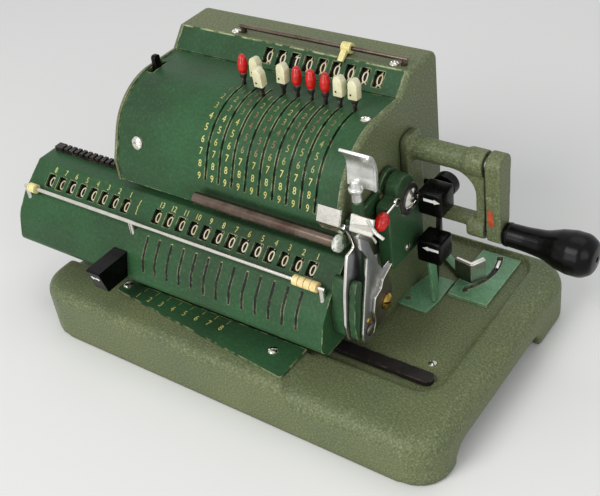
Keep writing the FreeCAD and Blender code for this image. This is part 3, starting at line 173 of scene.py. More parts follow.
def marking(name, look):
    # ink pressed into the enamel, broken where fingers have rubbed it
    material, tree, surface, place = startMaterial(name, {"Roughness": look["rough"]})
    breaks = addNode(tree, "TexNoise", {}, {"Vector": place, "Scale": perMetre(look["break"]), "Detail": 4.0,
                                            "Roughness": 0.75}).outputs["Fac"]
    drift = addNode(tree, "TexNoise", {}, {"Vector": place, "Scale": perMetre(look["drift"]),
                                           "Detail": 1.0}).outputs["Fac"]
    colour = layered(tree, linear(look["base"]), [
        (drift, 0.42, 0.58, 1.0, look["second"]),
        (breaks, look["lossFrom"], look["lossTo"], 1.0, look["ground"])])
    tree.links.new(colour, surface.inputs["Base Color"])
    return material


# hammered stove enamel on iron castings: a dull olive with glints of green and brown
castingEnamel = enamel("hammeredCastingEnamel", {
    "base": "#5a6345", "second": "#666c4a", "light": "#87906a", "dark": "#3f4d32", "cornerShade": "#2c2f20",
    "bare": "#b3b896", "cloud": 38, "grain": 1.0, "fleck": 5, "grainShare": 0.8, "cornerShadeReach": 9,
    "cornerShadeShare": 0.6, "edge": 0.9, "rubFrom": 0.50, "rubTo": 0.68, "roughLow": 0.4, "roughHigh": 0.55,
    "shine": 0.22, "coat": 0.04, "coatRoughness": 0.3, "bump": 0.4, "depth": 0.14})
# smooth stove enamel on pressed sheet steel: deep leaf green, soft gloss, bright on rubbed edges
sheetEnamel = enamel("smoothSheetEnamel", {
    "base": "#2d432c", "second": "#305635", "light": "#3f6f46", "dark": "#27392a", "cornerShade": "#1c2117",
    "bare": "#a8ad80", "cloud": 60, "grain": 1.6, "fleck": 6, "grainShare": 0.35, "cornerShadeReach": 8,
    "cornerShadeShare": 0.7, "edge": 0.6, "rubFrom": 0.44, "rubTo": 0.58, "roughLow": 0.3, "roughHigh": 0.42,
    "shine": 0.15, "coat": 0.03, "coatRoughness": 0.18, "bump": 0.1, "depth": 0.05})
# the same enamel on small flat plates, rubbed thin and greyer
plateEnamel = enamel("rubbedPlateEnamel", {
    "base": "#528259", "second": "#64926c", "light": "#88b190", "dark": "#386043", "cornerShade": "#262d1f",
    "bare": "#b9c2a4", "cloud": 20, "grain": 1.2, "fleck": 4, "grainShare": 0.4, "cornerShadeReach": 3,
    "cornerShadeShare": 0.5, "edge": 0.5, "rubFrom": 0.40, "rubTo": 0.54, "roughLow": 0.3, "roughHigh": 0.45,
    "shine": 0.4, "coat": 0.08, "coatRoughness": 0.25, "bump": 0.12, "depth": 0.06})
# white paint on the ferrule, flaked back to the green under it
flakedPaint = enamel("flakedWhitePaint", {
    "base": "#d5d6cc", "second": "#c4c6ba", "light": "#e6e7df", "dark": "#5c7a56", "cornerShade": "#3a4030",
    "bare": "#4b6b49", "cloud": 6, "grain": 1.1, "fleck": 2, "grainShare": 1.0, "cornerShadeReach": 2,
    "cornerShadeShare": 0.4, "edge": 0.7, "rubFrom": 0.40, "rubTo": 0.50, "roughLow": 0.4, "roughHigh": 0.6,
    "shine": 0.4, "coat": 0.0, "coatRoughness": 0.3, "bump": 0.3, "depth": 0.08})
# japanned iron of rack and rails: near black, brown where it wears
blackJapan = enamel("blackJapan", {
    "base": "#1b1917", "second": "#242020", "light": "#3a332d", "dark": "#100f0e", "cornerShade": "#0b0a09",
    "bare": "#7a6857", "cloud": 20, "grain": 1.4, "fleck": 5, "grainShare": 0.4, "cornerShadeReach": 4,
    "cornerShadeShare": 0.5, "edge": 0.4, "rubFrom": 0.46, "rubTo": 0.62, "roughLow": 0.3, "roughHigh": 0.5,
    "shine": 0.3, "coat": 0.05, "coatRoughness": 0.2, "bump": 0.15, "depth": 0.05})
# stamped steel wheels, matt black dip
wheelBlack = enamel("mattWheelBlack", {
    "base": "#100f0d", "second": "#151310", "light": "#1f1c18", "dark": "#0a0908", "cornerShade": "#060505",
    "bare": "#4b4032", "cloud": 9, "grain": 0.8, "fleck": 3, "grainShare": 0.3, "cornerShadeReach": 2,
    "cornerShadeShare": 0.5, "edge": 0.3, "rubFrom": 0.5, "rubTo": 0.7, "roughLow": 0.5, "roughHigh": 0.65,
    "shine": 0.2, "coat": 0.0, "coatRoughness": 0.3, "bump": 0.1, "depth": 0.03})
# nickel plate over polished steel: pale and mirror-like, slightly hazed
nickelPlate = metal("nickelPlate", {
    "base": "#dedcd4", "second": "#c9c6bd", "dark": "#9b968b", "line": 1.4, "bloom": 9,
    "roughLow": 0.12, "roughHigh": 0.26, "bump": 0.06})
# ground steel rod: darker and brown, a painted reflection of its dark surroundings, scratched round
groundSteel = metal("groundSteelRod", {
    "base": "#76685d", "second": "#4d3f37", "dark": "#312620", "stretch": (6, 1, 1), "line": 2.0, "bloom": 14,
    "roughLow": 0.16, "roughHigh": 0.34, "bump": 0.1})
# milled steel plate: grey with a satin grain along its length
milledSteel = metal("milledSteelPlate", {
    "base": "#a5a49d", "second": "#85837c", "dark": "#57544d", "stretch": (1, 1, 5), "line": 1.2, "bloom": 11,
    "roughLow": 0.24, "roughHigh": 0.42, "bump": 0.12})
# satin steel of levers: cool grey with a soft cloudy sheen
satinSteel = metal("satinSteelLever", {
    "base": "#9c9da0", "second": "#7e7f82", "dark": "#5b5a58", "stretch": (1, 1, 3), "line": 1.6, "bloom": 12,
    "roughLow": 0.3, "roughHigh": 0.46, "bump": 0.08})
# blued steel disc: dark grey, dull
bluedSteel = metal("bluedSteelDisc", {
    "base": "#6c685c", "second": "#7a7568", "dark": "#45423a", "line": 1.1, "bloom": 7,
    "roughLow": 0.32, "roughHigh": 0.48, "bump": 0.1})
# turned brass, tarnished yellow
turnedBrass = metal("turnedBrass", {
    "base": "#b79a55", "second": "#94783d", "dark": "#5e4a24", "line": 0.9, "bloom": 4,
    "roughLow": 0.2, "roughHigh": 0.36, "bump": 0.1})
# die-cast aluminium, tumbled: light grey, soft sheen
castAluminium = metal("tumbledAluminium", {
    "base": "#e0e0dc", "second": "#c9cac5", "dark": "#9c9c96", "line": 1.0, "bloom": 8,
    "roughLow": 0.26, "roughHigh": 0.4, "bump": 0.12})
# moulded phenolic: black, its gloss dulled by handling
blackPhenolic = resin("handledBlackPhenolic", {
    "base": "#050505", "second": "#090808", "swirl": 8, "haze": 3, "roughLow": 0.18, "roughHigh": 0.32,
    "shine": 0.14})
# turned red acetate
redAcetate = resin("turnedRedAcetate", {
    "base": "#c8140f", "second": "#ab100c", "swirl": 5, "haze": 2, "roughLow": 0.14, "roughHigh": 0.26,
    "coat": 0.12, "depth": 0.05})
# moulded cream acetate, yellowed
creamAcetate = resin("mouldedCreamAcetate", {
    "base": "#dcd8b4", "second": "#cfc9a0", "swirl": 5, "haze": 2, "roughLow": 0.2, "roughHigh": 0.34,
    "coat": 0.2, "depth": 0.08})
# soft vinyl markers, some pale and some aged to orange
paleVinyl = resin("paleYellowVinyl", {
    "base": "#e6dca0", "second": "#d6c878", "swirl": 2, "haze": 1.2, "roughLow": 0.35, "roughHigh": 0.5,
    "depth": 0.1})
agedVinyl = resin("agedYellowVinyl", {
    "base": "#ead9a0", "second": "#dfbd74", "swirl": 2, "haze": 1.2, "roughLow": 0.35, "roughHigh": 0.5,
    "depth": 0.1})
# red lead primer where the top coat has chipped off
redPrimer = resin("redLeadPrimer", {
    "base": "#b4532f", "second": "#96432a", "swirl": 3, "haze": 1.2, "roughLow": 0.5, "roughHigh": 0.7,
    "shine": 0.2})
# black moulded rubber
footRubber = resin("mouldedFootRubber", {
    "base": "#161514", "second": "#1f1d1b", "swirl": 6, "haze": 1.5, "roughLow": 0.6, "roughHigh": 0.8})
# gold leaf ink on green enamel, worn to the ground in places
goldInk = marking("goldLeafInk", {
    "base": "#cfc876", "second": "#b9ae58", "ground": "#4f6d3f", "break": 0.9, "drift": 24, "lossFrom": 0.60,
    "lossTo": 0.76, "rough": 0.42})
# the same ink on the cover, rubbed thin, with rust red showing through
fadedInk = marking("fadedGoldInk", {
    "base": "#a09c52", "second": "#7d5a38", "ground": "#3d5f3e", "break": 1.0, "drift": 26, "lossFrom": 0.52,
    "lossTo": 0.70, "rough": 0.42})
# cream lacquer filling the digits of the number wheels
creamLacquer = marking("creamDigitLacquer", {
    "base": "#eadfba", "second": "#dccda0", "ground": "#8a7346", "break": 0.9, "drift": 14, "lossFrom": 0.68,
    "lossTo": 0.82, "rough": 0.4})
# white filling of the arrows on the keys and of the mark on the carriage knob
whiteFilling = marking("whiteArrowFilling", {
    "base": "#f0f0ec", "second": "#e4e4de", "ground": "#8c8c86", "break": 0.8, "drift": 10, "lossFrom": 0.72,
    "lossTo": 0.85, "rough": 0.45})
print("materials made")

nodeFinish = {
    "base_casting": castingEnamel, "rubber_feet": footRubber, "rear_hood": castingEnamel,
    "drum_cover": sheetEnamel, "indicator_panel": sheetEnamel, "side_frames": milledSteel,
    "crank_bracket": castingEnamel, "key_housing": sheetEnamel, "scale_plate": sheetEnamel,
    "key_plate": plateEnamel, "latch_plate": plateEnamel, "carriage_rail": blackJapan,
    "hood_rod": groundSteel, "casing_screws": nickelPlate, "dial_shaft": milledSteel,
    "pinwheel_drum": milledSteel, "drum_shaft": milledSteel, "crank_shaft": milledSteel,
    "crank_arm": castingEnamel, "crank_grip": blackPhenolic, "crank_latch_pin": nickelPlate,
    "carriage_cover": sheetEnamel, "carriage_frame": blackJapan, "marker_rod": nickelPlate,
    "register_shaft": milledSteel, "result_wheels": wheelBlack, "counter_wheels": wheelBlack,
    "result_clear_lever": satinSteel, "counter_clear_lever": satinSteel, "clear_lever_hub": bluedSteel,
    "carriage_knob": blackPhenolic, "counter_marker": paleVinyl, "result_markers": agedVinyl,
    "clear_bar": sheetEnamel, "clear_bar_tab": castAluminium, "shift_right_key": blackPhenolic,
    "shift_left_key": blackPhenolic, "latch_thumb": satinSteel, "bead_lever": redAcetate,
    "cover_lever": blackPhenolic, "hood_marker": paleVinyl, "reverse_knob": blackPhenolic,
}
for place in range(1, 10):
    nodeFinish[f"setting_lever_{place}"] = blackJapan
    nodeFinish[f"setting_dial_{place}"] = wheelBlack
for nodeName, material in nodeFinish.items():
    cadNodes[nodeName].data.materials.clear()
    cadNodes[nodeName].data.materials.append(material)


# ---- shaping
def newObject(name, data):
    made = bpy.data.objects.new(name, data)
    bpy.context.scene.collection.objects.link(made)
    return made


def finishedMesh(source):
    # the mesh that an object comes out as; the object itself goes
    ready = source.evaluated_get(bpy.context.evaluated_depsgraph_get())
    mesh = bpy.data.meshes.new_from_object(ready)
    bpy.data.objects.remove(source)
    return mesh


def addPiece(name, body, shape, material, stands=(), sharp=38, seat=None):
    # turns a shape to its seat, brings it from millimetres to metres and hangs it on its body
    if seat:
        bmesh.ops.transform(shape, matrix=seat, verts=shape.verts)
    bmesh.ops.remove_doubles(shape, verts=shape.verts, dist=mergeReach)
    bmesh.ops.recalc_face_normals(shape, faces=shape.faces)
    bmesh.ops.scale(shape, vec=(0.001, 0.001, 0.001), verts=shape.verts)
    for face in shape.faces:
        face.smooth = True
    for edge in shape.edges:
        edge.smooth = edge.calc_face_angle(0) < math.radians(sharp)
    mesh = bpy.data.meshes.new(name)
    shape.to_mesh(mesh)
    shape.free()
    piece = newObject(name, mesh)
    mesh.materials.append(material)
    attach(piece, body)
    if stands:
        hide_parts(*stands)
    return piece


def facing(origin, across, up):
    # turns a shape drawn in the XY plane to stand at origin with these two directions
    across, up = Vector(across).normalized(), Vector(up).normalized()
    turned = Matrix((across, up, across.cross(up))).transposed().to_4x4()
    return Matrix.Translation(origin) @ turned


def fromSide(x, y=0, z=0):
    # for an outline of (y, z) that stands across X
    return facing((x, y, z), (0, 1, 0), alongZ)


def fromFront(x, y, z=0):
    # for an outline of (x, z) that faces the front
    return facing((x, y, z), alongX, alongZ)


def fromAbove(x, y, z):
    # for an outline of (x, y) that lies flat
    return facing((x, y, z), alongX, (0, 1, 0))


def joinShapes(*shapes):
    joined = bmesh.new()
    spare = bpy.data.meshes.new("spare")
    for shape in shapes:
        shape.to_mesh(spare)
        shape.free()
        joined.from_mesh(spare)
    bpy.data.meshes.remove(spare)
    return joined


def roundCorners(shape, verts, corners, steps=6):
    # rounds each corner of an outline or a path by its own radius, where one is given
    for vert, corner in zip(verts, corners):
        if len(corner) > 2 and corner[2]:
            others = [edge.other_vert(vert) for edge in vert.link_edges]
            half = (others[0].co - vert.co).angle(others[1].co - vert.co) / 2
            bmesh.ops.bevel(shape, geom=[vert], offset=corner[2] / math.tan(half), offset_type="OFFSET",
                            affect="VERTICES", segments=steps, profile=0.5, material=-1, clamp_overlap=True)


def softenEdges(shape, edges, soften, steps):
    bmesh.ops.bevel(shape, geom=edges, offset=soften, offset_type="OFFSET", affect="EDGES", segments=steps,
                    profile=0.5, material=-1, clamp_overlap=True)


def plateShape(corners, thickness, matrix, soften=0.0):
    # an outline of (across, up, radius) corners cut from plate, centred on its thickness
    shape = bmesh.new()
    verts = [shape.verts.new((corner[0], corner[1], -thickness / 2)) for corner in corners]
    shape.faces.new(verts)
    roundCorners(shape, verts, corners)
    made = bmesh.ops.extrude_face_region(shape, geom=list(shape.faces))
    moved = [item for item in made["geom"] if isinstance(item, bmesh.types.BMVert)]
    bmesh.ops.translate(shape, vec=(0, 0, thickness), verts=moved)
    if soften:
        rims = [edge for edge in shape.edges if edge.calc_face_angle(0) > rimAngle
                and abs(edge.verts[0].co.z - edge.verts[1].co.z) < 1e-4]
        softenEdges(shape, rims, soften, 2)
    bmesh.ops.transform(shape, matrix=matrix, verts=shape.verts)
    return shape


def turnedShape(profile, origin, axis, steps=40):
    # a profile of (along, radius, fillet) turned once about the axis through origin
    shape = bmesh.new()
    axis = Vector(axis).normalized()
    side = axis.orthogonal().normalized()
    verts = [shape.verts.new(Vector(origin) + axis * one[0] + side * one[1]) for one in profile]
    for pair in zip(verts, verts[1:]):
        shape.edges.new(pair)
    roundCorners(shape, verts, profile)
    bmesh.ops.spin(shape, geom=list(shape.verts) + list(shape.edges), cent=Vector(origin), axis=axis,
                   angle=2 * math.pi, steps=steps, use_merge=True)
    bmesh.ops.remove_doubles(shape, verts=shape.verts, dist=mergeReach)
    return shape


def barShape(size, origin, across, up, soften, steps=3):
    # a bar of (across, up, deep) millimetres round its middle, edges softened
    shape = bmesh.new()
    bmesh.ops.create_cube(shape, size=1)
    bmesh.ops.scale(shape, vec=size, verts=shape.verts)
    softenEdges(shape, list(shape.edges), soften, steps)
    bmesh.ops.transform(shape, matrix=facing(origin, across, up), verts=shape.verts)
    return shape


def bentShape(path, width, thickness, matrix, soften=0.0):
    # sheet of one width bent along a path of (across, up, radius); width runs along local z
    shape = bmesh.new()
    verts = [shape.verts.new((one[0], one[1], 0)) for one in path]
    for pair in zip(verts, verts[1:]):
        shape.edges.new(pair)
    roundCorners(shape, verts, path, 8)
    made = bmesh.ops.extrude_edge_only(shape, edges=list(shape.edges))
    moved = [item for item in made["geom"] if isinstance(item, bmesh.types.BMVert)]
    bmesh.ops.translate(shape, vec=(0, 0, width), verts=moved)
    bmesh.ops.recalc_face_normals(shape, faces=shape.faces)
    bmesh.ops.solidify(shape, geom=list(shape.faces), thickness=thickness)
    if soften:
        rims = [edge for edge in shape.edges if edge.calc_face_angle(0) > rimAngle]
        softenEdges(shape, rims, soften, 3)
    bmesh.ops.transform(shape, matrix=matrix, verts=shape.verts)
    return shape


def plateFrom(look, seat):
    # a flat plate from its dictionary; bendFrom does the same for bent sheet
    return plateShape(look["outline"], look["thick"], seat, look["soft"])


def bendFrom(look, seat):
    return bentShape(look["path"], look["wide"], look["thick"], seat, look["soft"])


def arcOutline(centre, inner, outer, degrees):
    # a piece of a ring: along its inner arc and back along the outer one
    turns = [math.radians(a) for a in degrees]
    return [(centre[0] + reach * math.cos(a), centre[1] + reach * math.sin(a))
            for reach, arc in ((inner, turns), (outer, turns[::-1])) for a in arc]


def castCopy(name, node, voxel, rounds):
    # the casting with every edge and corner run soft, as the foundry leaves it
    source = cadNodes[node]
    shape = bmesh.new()
    shape.from_mesh(source.data)
    bmesh.ops.remove_doubles(shape, verts=shape.verts, dist=mergeReach / 1000)
    mesh = bpy.data.meshes.new(name)
    shape.to_mesh(mesh)
    shape.free()
    rough = newObject(name + "Rough", mesh)
    remesh = rough.modifiers.new("remesh", "REMESH")
    remesh.mode = "VOXEL"
    remesh.voxel_size = voxel / 1000
    smooth = rough.modifiers.new("smooth", "SMOOTH")
    smooth.factor = 0.5
    smooth.iterations = rounds
    finished = finishedMesh(rough)
    finished.name = name
    finished.polygons.foreach_set("use_smooth", [True] * len(finished.polygons))
    finished.materials.clear()
    finished.materials.append(nodeFinish[node])
    piece = newObject(name, finished)
    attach(piece, source["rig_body"])
    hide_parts(node)


# ---- printed and engraved marks
glyphs = {}


def glyph(text):
    # a mark one unit high round its middle, one unit thick
    if text not in glyphs:
        curve = bpy.data.curves.new("mark", "FONT")
        curve.body = text
        curve.extrude = 0.5
        curve.resolution_u = 4
        writer = newObject("mark", curve)
        bpy.context.view_layer.update()
        mesh = finishedMesh(writer)
        xs = [v.co.x for v in mesh.vertices]
        ys = [v.co.y for v in mesh.vertices]
        high = max(ys) - min(ys)
        middle = Vector(((max(xs) + min(xs)) / 2, (max(ys) + min(ys)) / 2, 0))
        mesh.transform(Matrix.Diagonal((1 / high, 1 / high, 1, 1)) @ Matrix.Translation(-middle))
        glyphs[text] = mesh
    return glyphs[text]


def placeGlyph(shape, text, high, wide, matrix, thick=0.08, roll=0):
    # adds a mark, flat, or rolled round a wheel of radius roll
    before = len(shape.verts)
    shape.from_mesh(glyph(text))
    shape.verts.ensure_lookup_table()
    verts = shape.verts[before:]
    bmesh.ops.scale(shape, vec=(high * wide, high, thick), verts=verts)
    if roll:
        faces = {face for vert in verts for face in vert.link_faces}
        edges = {edge for vert in verts for edge in vert.link_edges}
        for cut in (-0.3, -0.1, 0.1, 0.3):
            geom = list(verts) + list(edges) + list(faces)
            made = bmesh.ops.bisect_plane(shape, geom=geom, plane_co=(0, cut * high, 0), plane_no=(0, 1, 0))
            verts, edges, faces = [[item for item in made["geom"] if isinstance(item, kind)] for kind in
                                   (bmesh.types.BMVert, bmesh.types.BMEdge, bmesh.types.BMFace)]
        for vert in verts:
            reach, angle = roll + vert.co.z, vert.co.y / roll
            vert.co.y, vert.co.z = reach * math.sin(angle), reach * math.cos(angle) - roll
    bmesh.ops.transform(shape, matrix=matrix, verts=verts)


def onFace(x, rise, tilt, middle, lift=inkLift):
    # a place on a sloping face that rises to the rear, across +X
    up = Vector((0, math.cos(tilt), math.sin(tilt)))
    out = Vector((0, -math.sin(tilt), math.cos(tilt)))
    origin = Vector((x, middle[0], middle[1])) + up * rise + out * lift
    return facing(origin, alongX, up)


# places that several pieces share, in millimetres
drumAxis = Vector((0, 6.3, 98.5))
columns = {"pitch": 8, "result": 39, "results": 13, "counter": -79, "counters": 8, "levers": 9}
resultX = [columns["result"] - columns["pitch"] * k for k in range(columns["results"])]
counterX = [columns["counter"] - columns["pitch"] * k for k in range(columns["counters"])]
leverX = resultX[:columns["levers"]]
shownDigits = {7: 1}  # every other lever and dial stands at 0
carriageFace = {"tilt": math.atan2(12, 15.5), "middle": (-37.25, 74.0)}
panelFace = {"tilt": math.atan2(9.5, 9.0), "middle": (31.0, 138.25)}
numberWheels = {"radius": 10.0, "y": -30.0876, "z": 64.7485, "high": 5.6, "wide": 0.85}
dialWheels = {"radius": 8.0, "y": 37.9691, "z": 131.6477, "high": 5.8, "wide": 0.85}


def wheelDigits(name, body, places, wheel, face, shown=0):
    # ten digits round every wheel, the shown one under its window
    shape = bmesh.new()
    top = onFace(0, 0, face["tilt"], (0, 0), wheel["radius"] + inkLift)
    for x in places:
        seat = Matrix.Translation((x, wheel["y"], wheel["z"]))
        for digit in range(10):
            turn = Matrix.Rotation(math.radians(-36 * (digit - shown)), 4, "X")
            placeGlyph(shape, str(digit), wheel["high"], wheel["wide"], seat @ turn @ top, 0.1,
                       wheel["radius"])
    addPiece(name, body, shape, creamLacquer)


wheelDigits("resultDigits", "result_register", resultX, numberWheels, carriageFace)
wheelDigits("counterDigits", "counter_register", counterX, numberWheels, carriageFace)
for place, x in enumerate(leverX, 1):
    wheelDigits(f"dialDigits{place}", f"dial_{place}", [x], dialWheels, panelFace, shownDigits.get(place, 0))

windowNumbers = {"high": 3.1, "wide": 0.8, "rise": 6.5, "shift": 0.9}
windowBrace = {"high": 8.0, "wide": 0.5, "rise": 1.5, "x": -70.5}
numbers = bmesh.new()
for places in (resultX, counterX):
    for number, x in enumerate(places, 1):
        placeGlyph(numbers, str(number), windowNumbers["high"], windowNumbers["wide"],
                   onFace(x + windowNumbers["shift"], windowNumbers["rise"], **carriageFace))
placeGlyph(numbers, "{", windowBrace["high"], windowBrace["wide"],
           onFace(windowBrace["x"], windowBrace["rise"], **carriageFace))
addPiece("windowNumbers", "carriage", numbers, goldInk)

scaleDigits = {"mark": str, "high": 3.6, "wide": 0.8, "x": -65.3, "y": -55.2}
scaleTicks = {"mark": lambda number: "/", "high": 3.0, "wide": 0.55, "x": -64.2, "y": -50.2}
scaleMarks = {"count": 8, "pitch": 8, "top": 32.01}
marks = bmesh.new()
for number in range(scaleMarks["count"]):
    for kind in (scaleDigits, scaleTicks):
        placeGlyph(marks, kind["mark"](number + 1), kind["high"], kind["wide"],
                   fromAbove(kind["x"] + scaleMarks["pitch"] * number, kind["y"], scaleMarks["top"]))
addPiece("scaleMarks", "machine", marks, goldInk)

coverForm = {"radius": 34.2, "bend": math.radians(158)}  # round up to the bend, flat down the front


def coverPoint(degrees):
    # where a ray from the drum's axis meets the cover, and the way the cover faces there
    angle, bend = math.radians(degrees), coverForm["bend"]
    ray = Vector((0, math.cos(angle), math.sin(angle)))
    if angle <= bend:
        return drumAxis + ray * coverForm["radius"], ray
    out = Vector((0, math.cos(bend), math.sin(bend)))
    return drumAxis + ray * (coverForm["radius"] / ray.dot(out)), out


# the digits beside each slot run down from the top, the lower and left ones kept bright
slotDigits = {"high": 3.5, "wide": 0.8, "side": 3.9, "from": 84, "step": 10, "thick": 0.12}
faded, bright = bmesh.new(), bmesh.new()
for column, x in enumerate(leverX):
    for digit in range(1, 10):
        spot, out = coverPoint(slotDigits["from"] + slotDigits["step"] * digit)
        spot.x = x - slotDigits["side"]
        seat = facing(spot + out * inkLift, alongX, out.cross(Vector(alongX)))
        target = bright if digit > 6 or (digit > 3 and column > 5) else faded
        placeGlyph(target, str(digit), slotDigits["high"], slotDigits["wide"], seat, slotDigits["thick"])
addPiece("coverDigitsFaded", "machine", faded, fadedInk)
addPiece("coverDigitsBright", "machine", bright, goldInk)
print("digits made:", len(glyphs), "kinds")


# ---- castings
castings = {
    # name: node, voxel in millimetres, rounds of smoothing
    "bracketCasting": ("crank_bracket", 0.7, 5),
    "crankArmCasting": ("crank_arm", 0.55, 4),
    "housingCasting": ("key_housing", 0.6, 3),
    "baseCasting": ("base_casting", 1.25, 14),
}
for name, (node, voxel, rounds) in castings.items():
    castCopy(name, node, voxel, rounds)
print("castings made")


# ---- carriage: black strips of painted shade in the belly slots, and the mark on its knob
# black strips along each slot, painted shade standing for the dark inside the open slots
bellySlotShade = {"path": [(-45.9, 67.0), (-53.05, 58, 12), (-55.0, 50.5)], "wide": 1.4, "thick": 0.25, "soft": 0}
slotShadeStrips = joinShapes(*[bendFrom(bellySlotShade, fromSide(x - bellySlotShade["wide"] / 2)) for x in resultX])
addPiece("bellySlotShade", "carriage", slotShadeStrips, wheelBlack)
knobArrow = {"place": (-72.5, -73.29, 53.9), "up": (0, -3.4, 13.5), "thick": 0.2, "soft": 0, "outline": [
    (-3.2, 0), (-1.5, 1.4), (-1.5, 0.5), (1.5, 0.5), (1.5, 1.4), (3.2, 0), (1.5, -1.4), (1.5, -0.5),
    (-1.5, -0.5), (-1.5, -1.4)]}
addPiece("knobArrow", "carriage", plateFrom(knobArrow, facing(knobArrow["place"], alongX, knobArrow["up"])),
         whiteFilling)
print("carriage marks made")


# ---- finger at the left end of the drum cover
def leverSeat(x, degrees):
    # from a lever drawn upright round the drum's axis to its column and angle
    turned = Matrix.Rotation(math.radians(degrees - 90), 4, "X")
    return Matrix.Translation((x, drumAxis.y, drumAxis.z)) @ turned


coverFinger = {"x": -80, "angle": 88, "thick": 2.8, "soft": 0.4,
               "outline": [(-2.1, 29.5), (2.1, 29.5), (2.1, 40.8, 1.5), (-2.1, 40.8, 1.5)]}
addPiece("coverFinger", "finger", plateFrom(coverFinger, fromSide(0)), blackPhenolic, ["cover_lever"],
         seat=leverSeat(coverFinger["x"], coverFinger["angle"]))
print("cover finger made")


# ---- screws
def screwShape(radius, height, origin, axis, slotAngle, slot):
    # a low domed head with a sawn slot, slot radii wide to either side
    axis = Vector(axis).normalized()
    floor = height * 0.35
    dome = turnedShape([(-0.3, 0), (-0.3, radius), (floor, radius), (height * 0.8, radius * 0.72),
                        (height, radius * 0.3), (height, 0)], origin, axis, 28)
    across = Matrix.Rotation(math.radians(slotAngle), 3, axis) @ axis.orthogonal().normalized()
    middle = Vector(origin)
    for offset in (radius * slot, -radius * slot):
        bmesh.ops.bisect_plane(dome, geom=list(dome.verts) + list(dome.edges) + list(dome.faces),
                               plane_co=middle + across * offset, plane_no=across)
    for vert in dome.verts:
        away = (vert.co - middle).dot(across)
        rise = (vert.co - middle).dot(axis)
        if abs(away) < radius * slot - 0.001 and rise > floor:
            vert.co -= axis * (rise - floor)
    return dome


frontSpot, frontOut = coverPoint(163)
edgeSpot, edgeOut = coverPoint(92)
screws = [
    # name, radius, height, place, axis, slot angle
    ("coverScrew", 3.4, 1.7, frontSpot + Vector((-70, 0, 0)), frontOut, 20),
    ("edgeScrew", 2.4, 1.2, edgeSpot + Vector((47.6, 0, 0)), edgeOut, 60),
    ("hoodScrewLeft", 2.3, 1.6, (-50, 38.5, 143), alongZ, 100),
    ("hoodScrewRight", 2.3, 1.6, (43.5, 38.5, 143), alongZ, 60),
    ("scaleScrewLeft", 2.4, 1.2, (-76, -51.5, 32), alongZ, 30),
    ("scaleScrewRight", 2.4, 1.2, (24, -56.5, 32), alongZ, 75),
    ("deckScrew", 2.0, 0.8, (90.5, -19.7, 22), alongZ, 10),
    ("housingScrew", 1.9, 1.0, (65.5, 4.3, 67), alongX, 35),
    ("housingCap", 5.6, 2.6, (66.2, 8.4, 92.6), alongX, 60),
]
for name, radius, height, spot, axis, slotAngle in screws:
    slot = 0.12 if name == "housingCap" else 0.2
    addPiece(name, "machine", screwShape(radius, height, spot, axis, slotAngle, slot), nickelPlate,
             ["casing_screws"] if name == "coverScrew" else ())
housingWasher = {"place": (65.5, 8.4, 92.6),
                 "profile": [(-0.7, 0), (-0.7, 8.0), (0.6, 8.0, 0.3), (0.9, 6.2, 0.2), (0.9, 0)]}
addPiece("housingWasher", "machine", turnedShape(housingWasher["profile"], housingWasher["place"], alongX),
         blackJapan)
print("screws made:", len(screws))


# ---- setting levers: a ring segment, a blade and a round stem in one, with a knob
leverKnobs = {"red": (3, 4, 5, 9), "start": 40.3, "length": 9.7, "radius": 2.5, "thick": 4.4}
leverStems = {"ring": (28, 32.6), "ringTurns": range(102, 77, -3), "sheet": 0.8, "rodFrom": 36.3,
              "rodRadius": 0.8, "collar": 1.75, "blade": [(-1.2, 29), (1.2, 29), (1.2, 38.4), (-1.2, 38.4)]}
start, long, radius = leverKnobs["start"], leverKnobs["length"], leverKnobs["radius"]
redProfile = [(start, 0), (start, radius * 0.62, 0.3), (start + long * 0.22, radius * 0.95, 2.2),
              (start + long * 0.55, radius * 1.02, 2.6), (start + long * 0.88, radius * 0.72, 1.8),
              (start + long, radius * 0.3, 0.4), (start + long, 0)]
creamOutline = [(-radius, start, 0.5), (radius, start, 0.5), (radius, start + long * 0.72, 2.2),
                (radius * 0.35, start + long, 1.6), (-radius * 0.7, start + long, 1.6),
                (-radius * 1.02, start + long * 0.78, 2.0)]
dotProfile = [(0, 0), (0, 0.55), (0.12, 0.45), (0.12, 0)]
dotPlace = (-radius * 0.35, -leverKnobs["thick"] / 2, start + 2.4)
rodProfile = [(leverStems["rodFrom"], 0), (leverStems["rodFrom"], leverStems["rodRadius"]), (38, 1.35, 0.4),
              (39.2, leverStems["collar"], 0.4), (start + 0.6, leverStems["collar"]), (start + 0.6, 0)]
for place, x in enumerate(leverX, 1):
    body = f"lever_{place}"
    seat = leverSeat(x, slotDigits["from"] + slotDigits["step"] * shownDigits.get(place, 0))
    if place in leverKnobs["red"]:
        knob = turnedShape(redProfile, (0, 0, 0), alongZ, 28)
        addPiece(f"leverKnob{place}", body, knob, redAcetate, seat=seat)
    else:
        dot = turnedShape(dotProfile, dotPlace, (0, -1, 0), 16)
        addPiece(f"knobDot{place}", body, dot, blackPhenolic, seat=seat)
        knob = plateShape(creamOutline, leverKnobs["thick"], fromFront(0, 0), 0.9)
        addPiece(f"leverKnob{place}", body, knob, creamAcetate, seat=seat)
    ring = arcOutline((0, 0), *leverStems["ring"], leverStems["ringTurns"])
    stem = joinShapes(turnedShape(rodProfile, (0, 0, 0), alongZ, 20),
                      plateShape(leverStems["blade"], leverStems["sheet"], fromSide(0)),
                      plateShape(ring, leverStems["sheet"], fromSide(0)))
    addPiece(f"leverStem{place}", body, stem, blackJapan, [f"setting_lever_{place}"], seat=seat)
print("setting levers made")


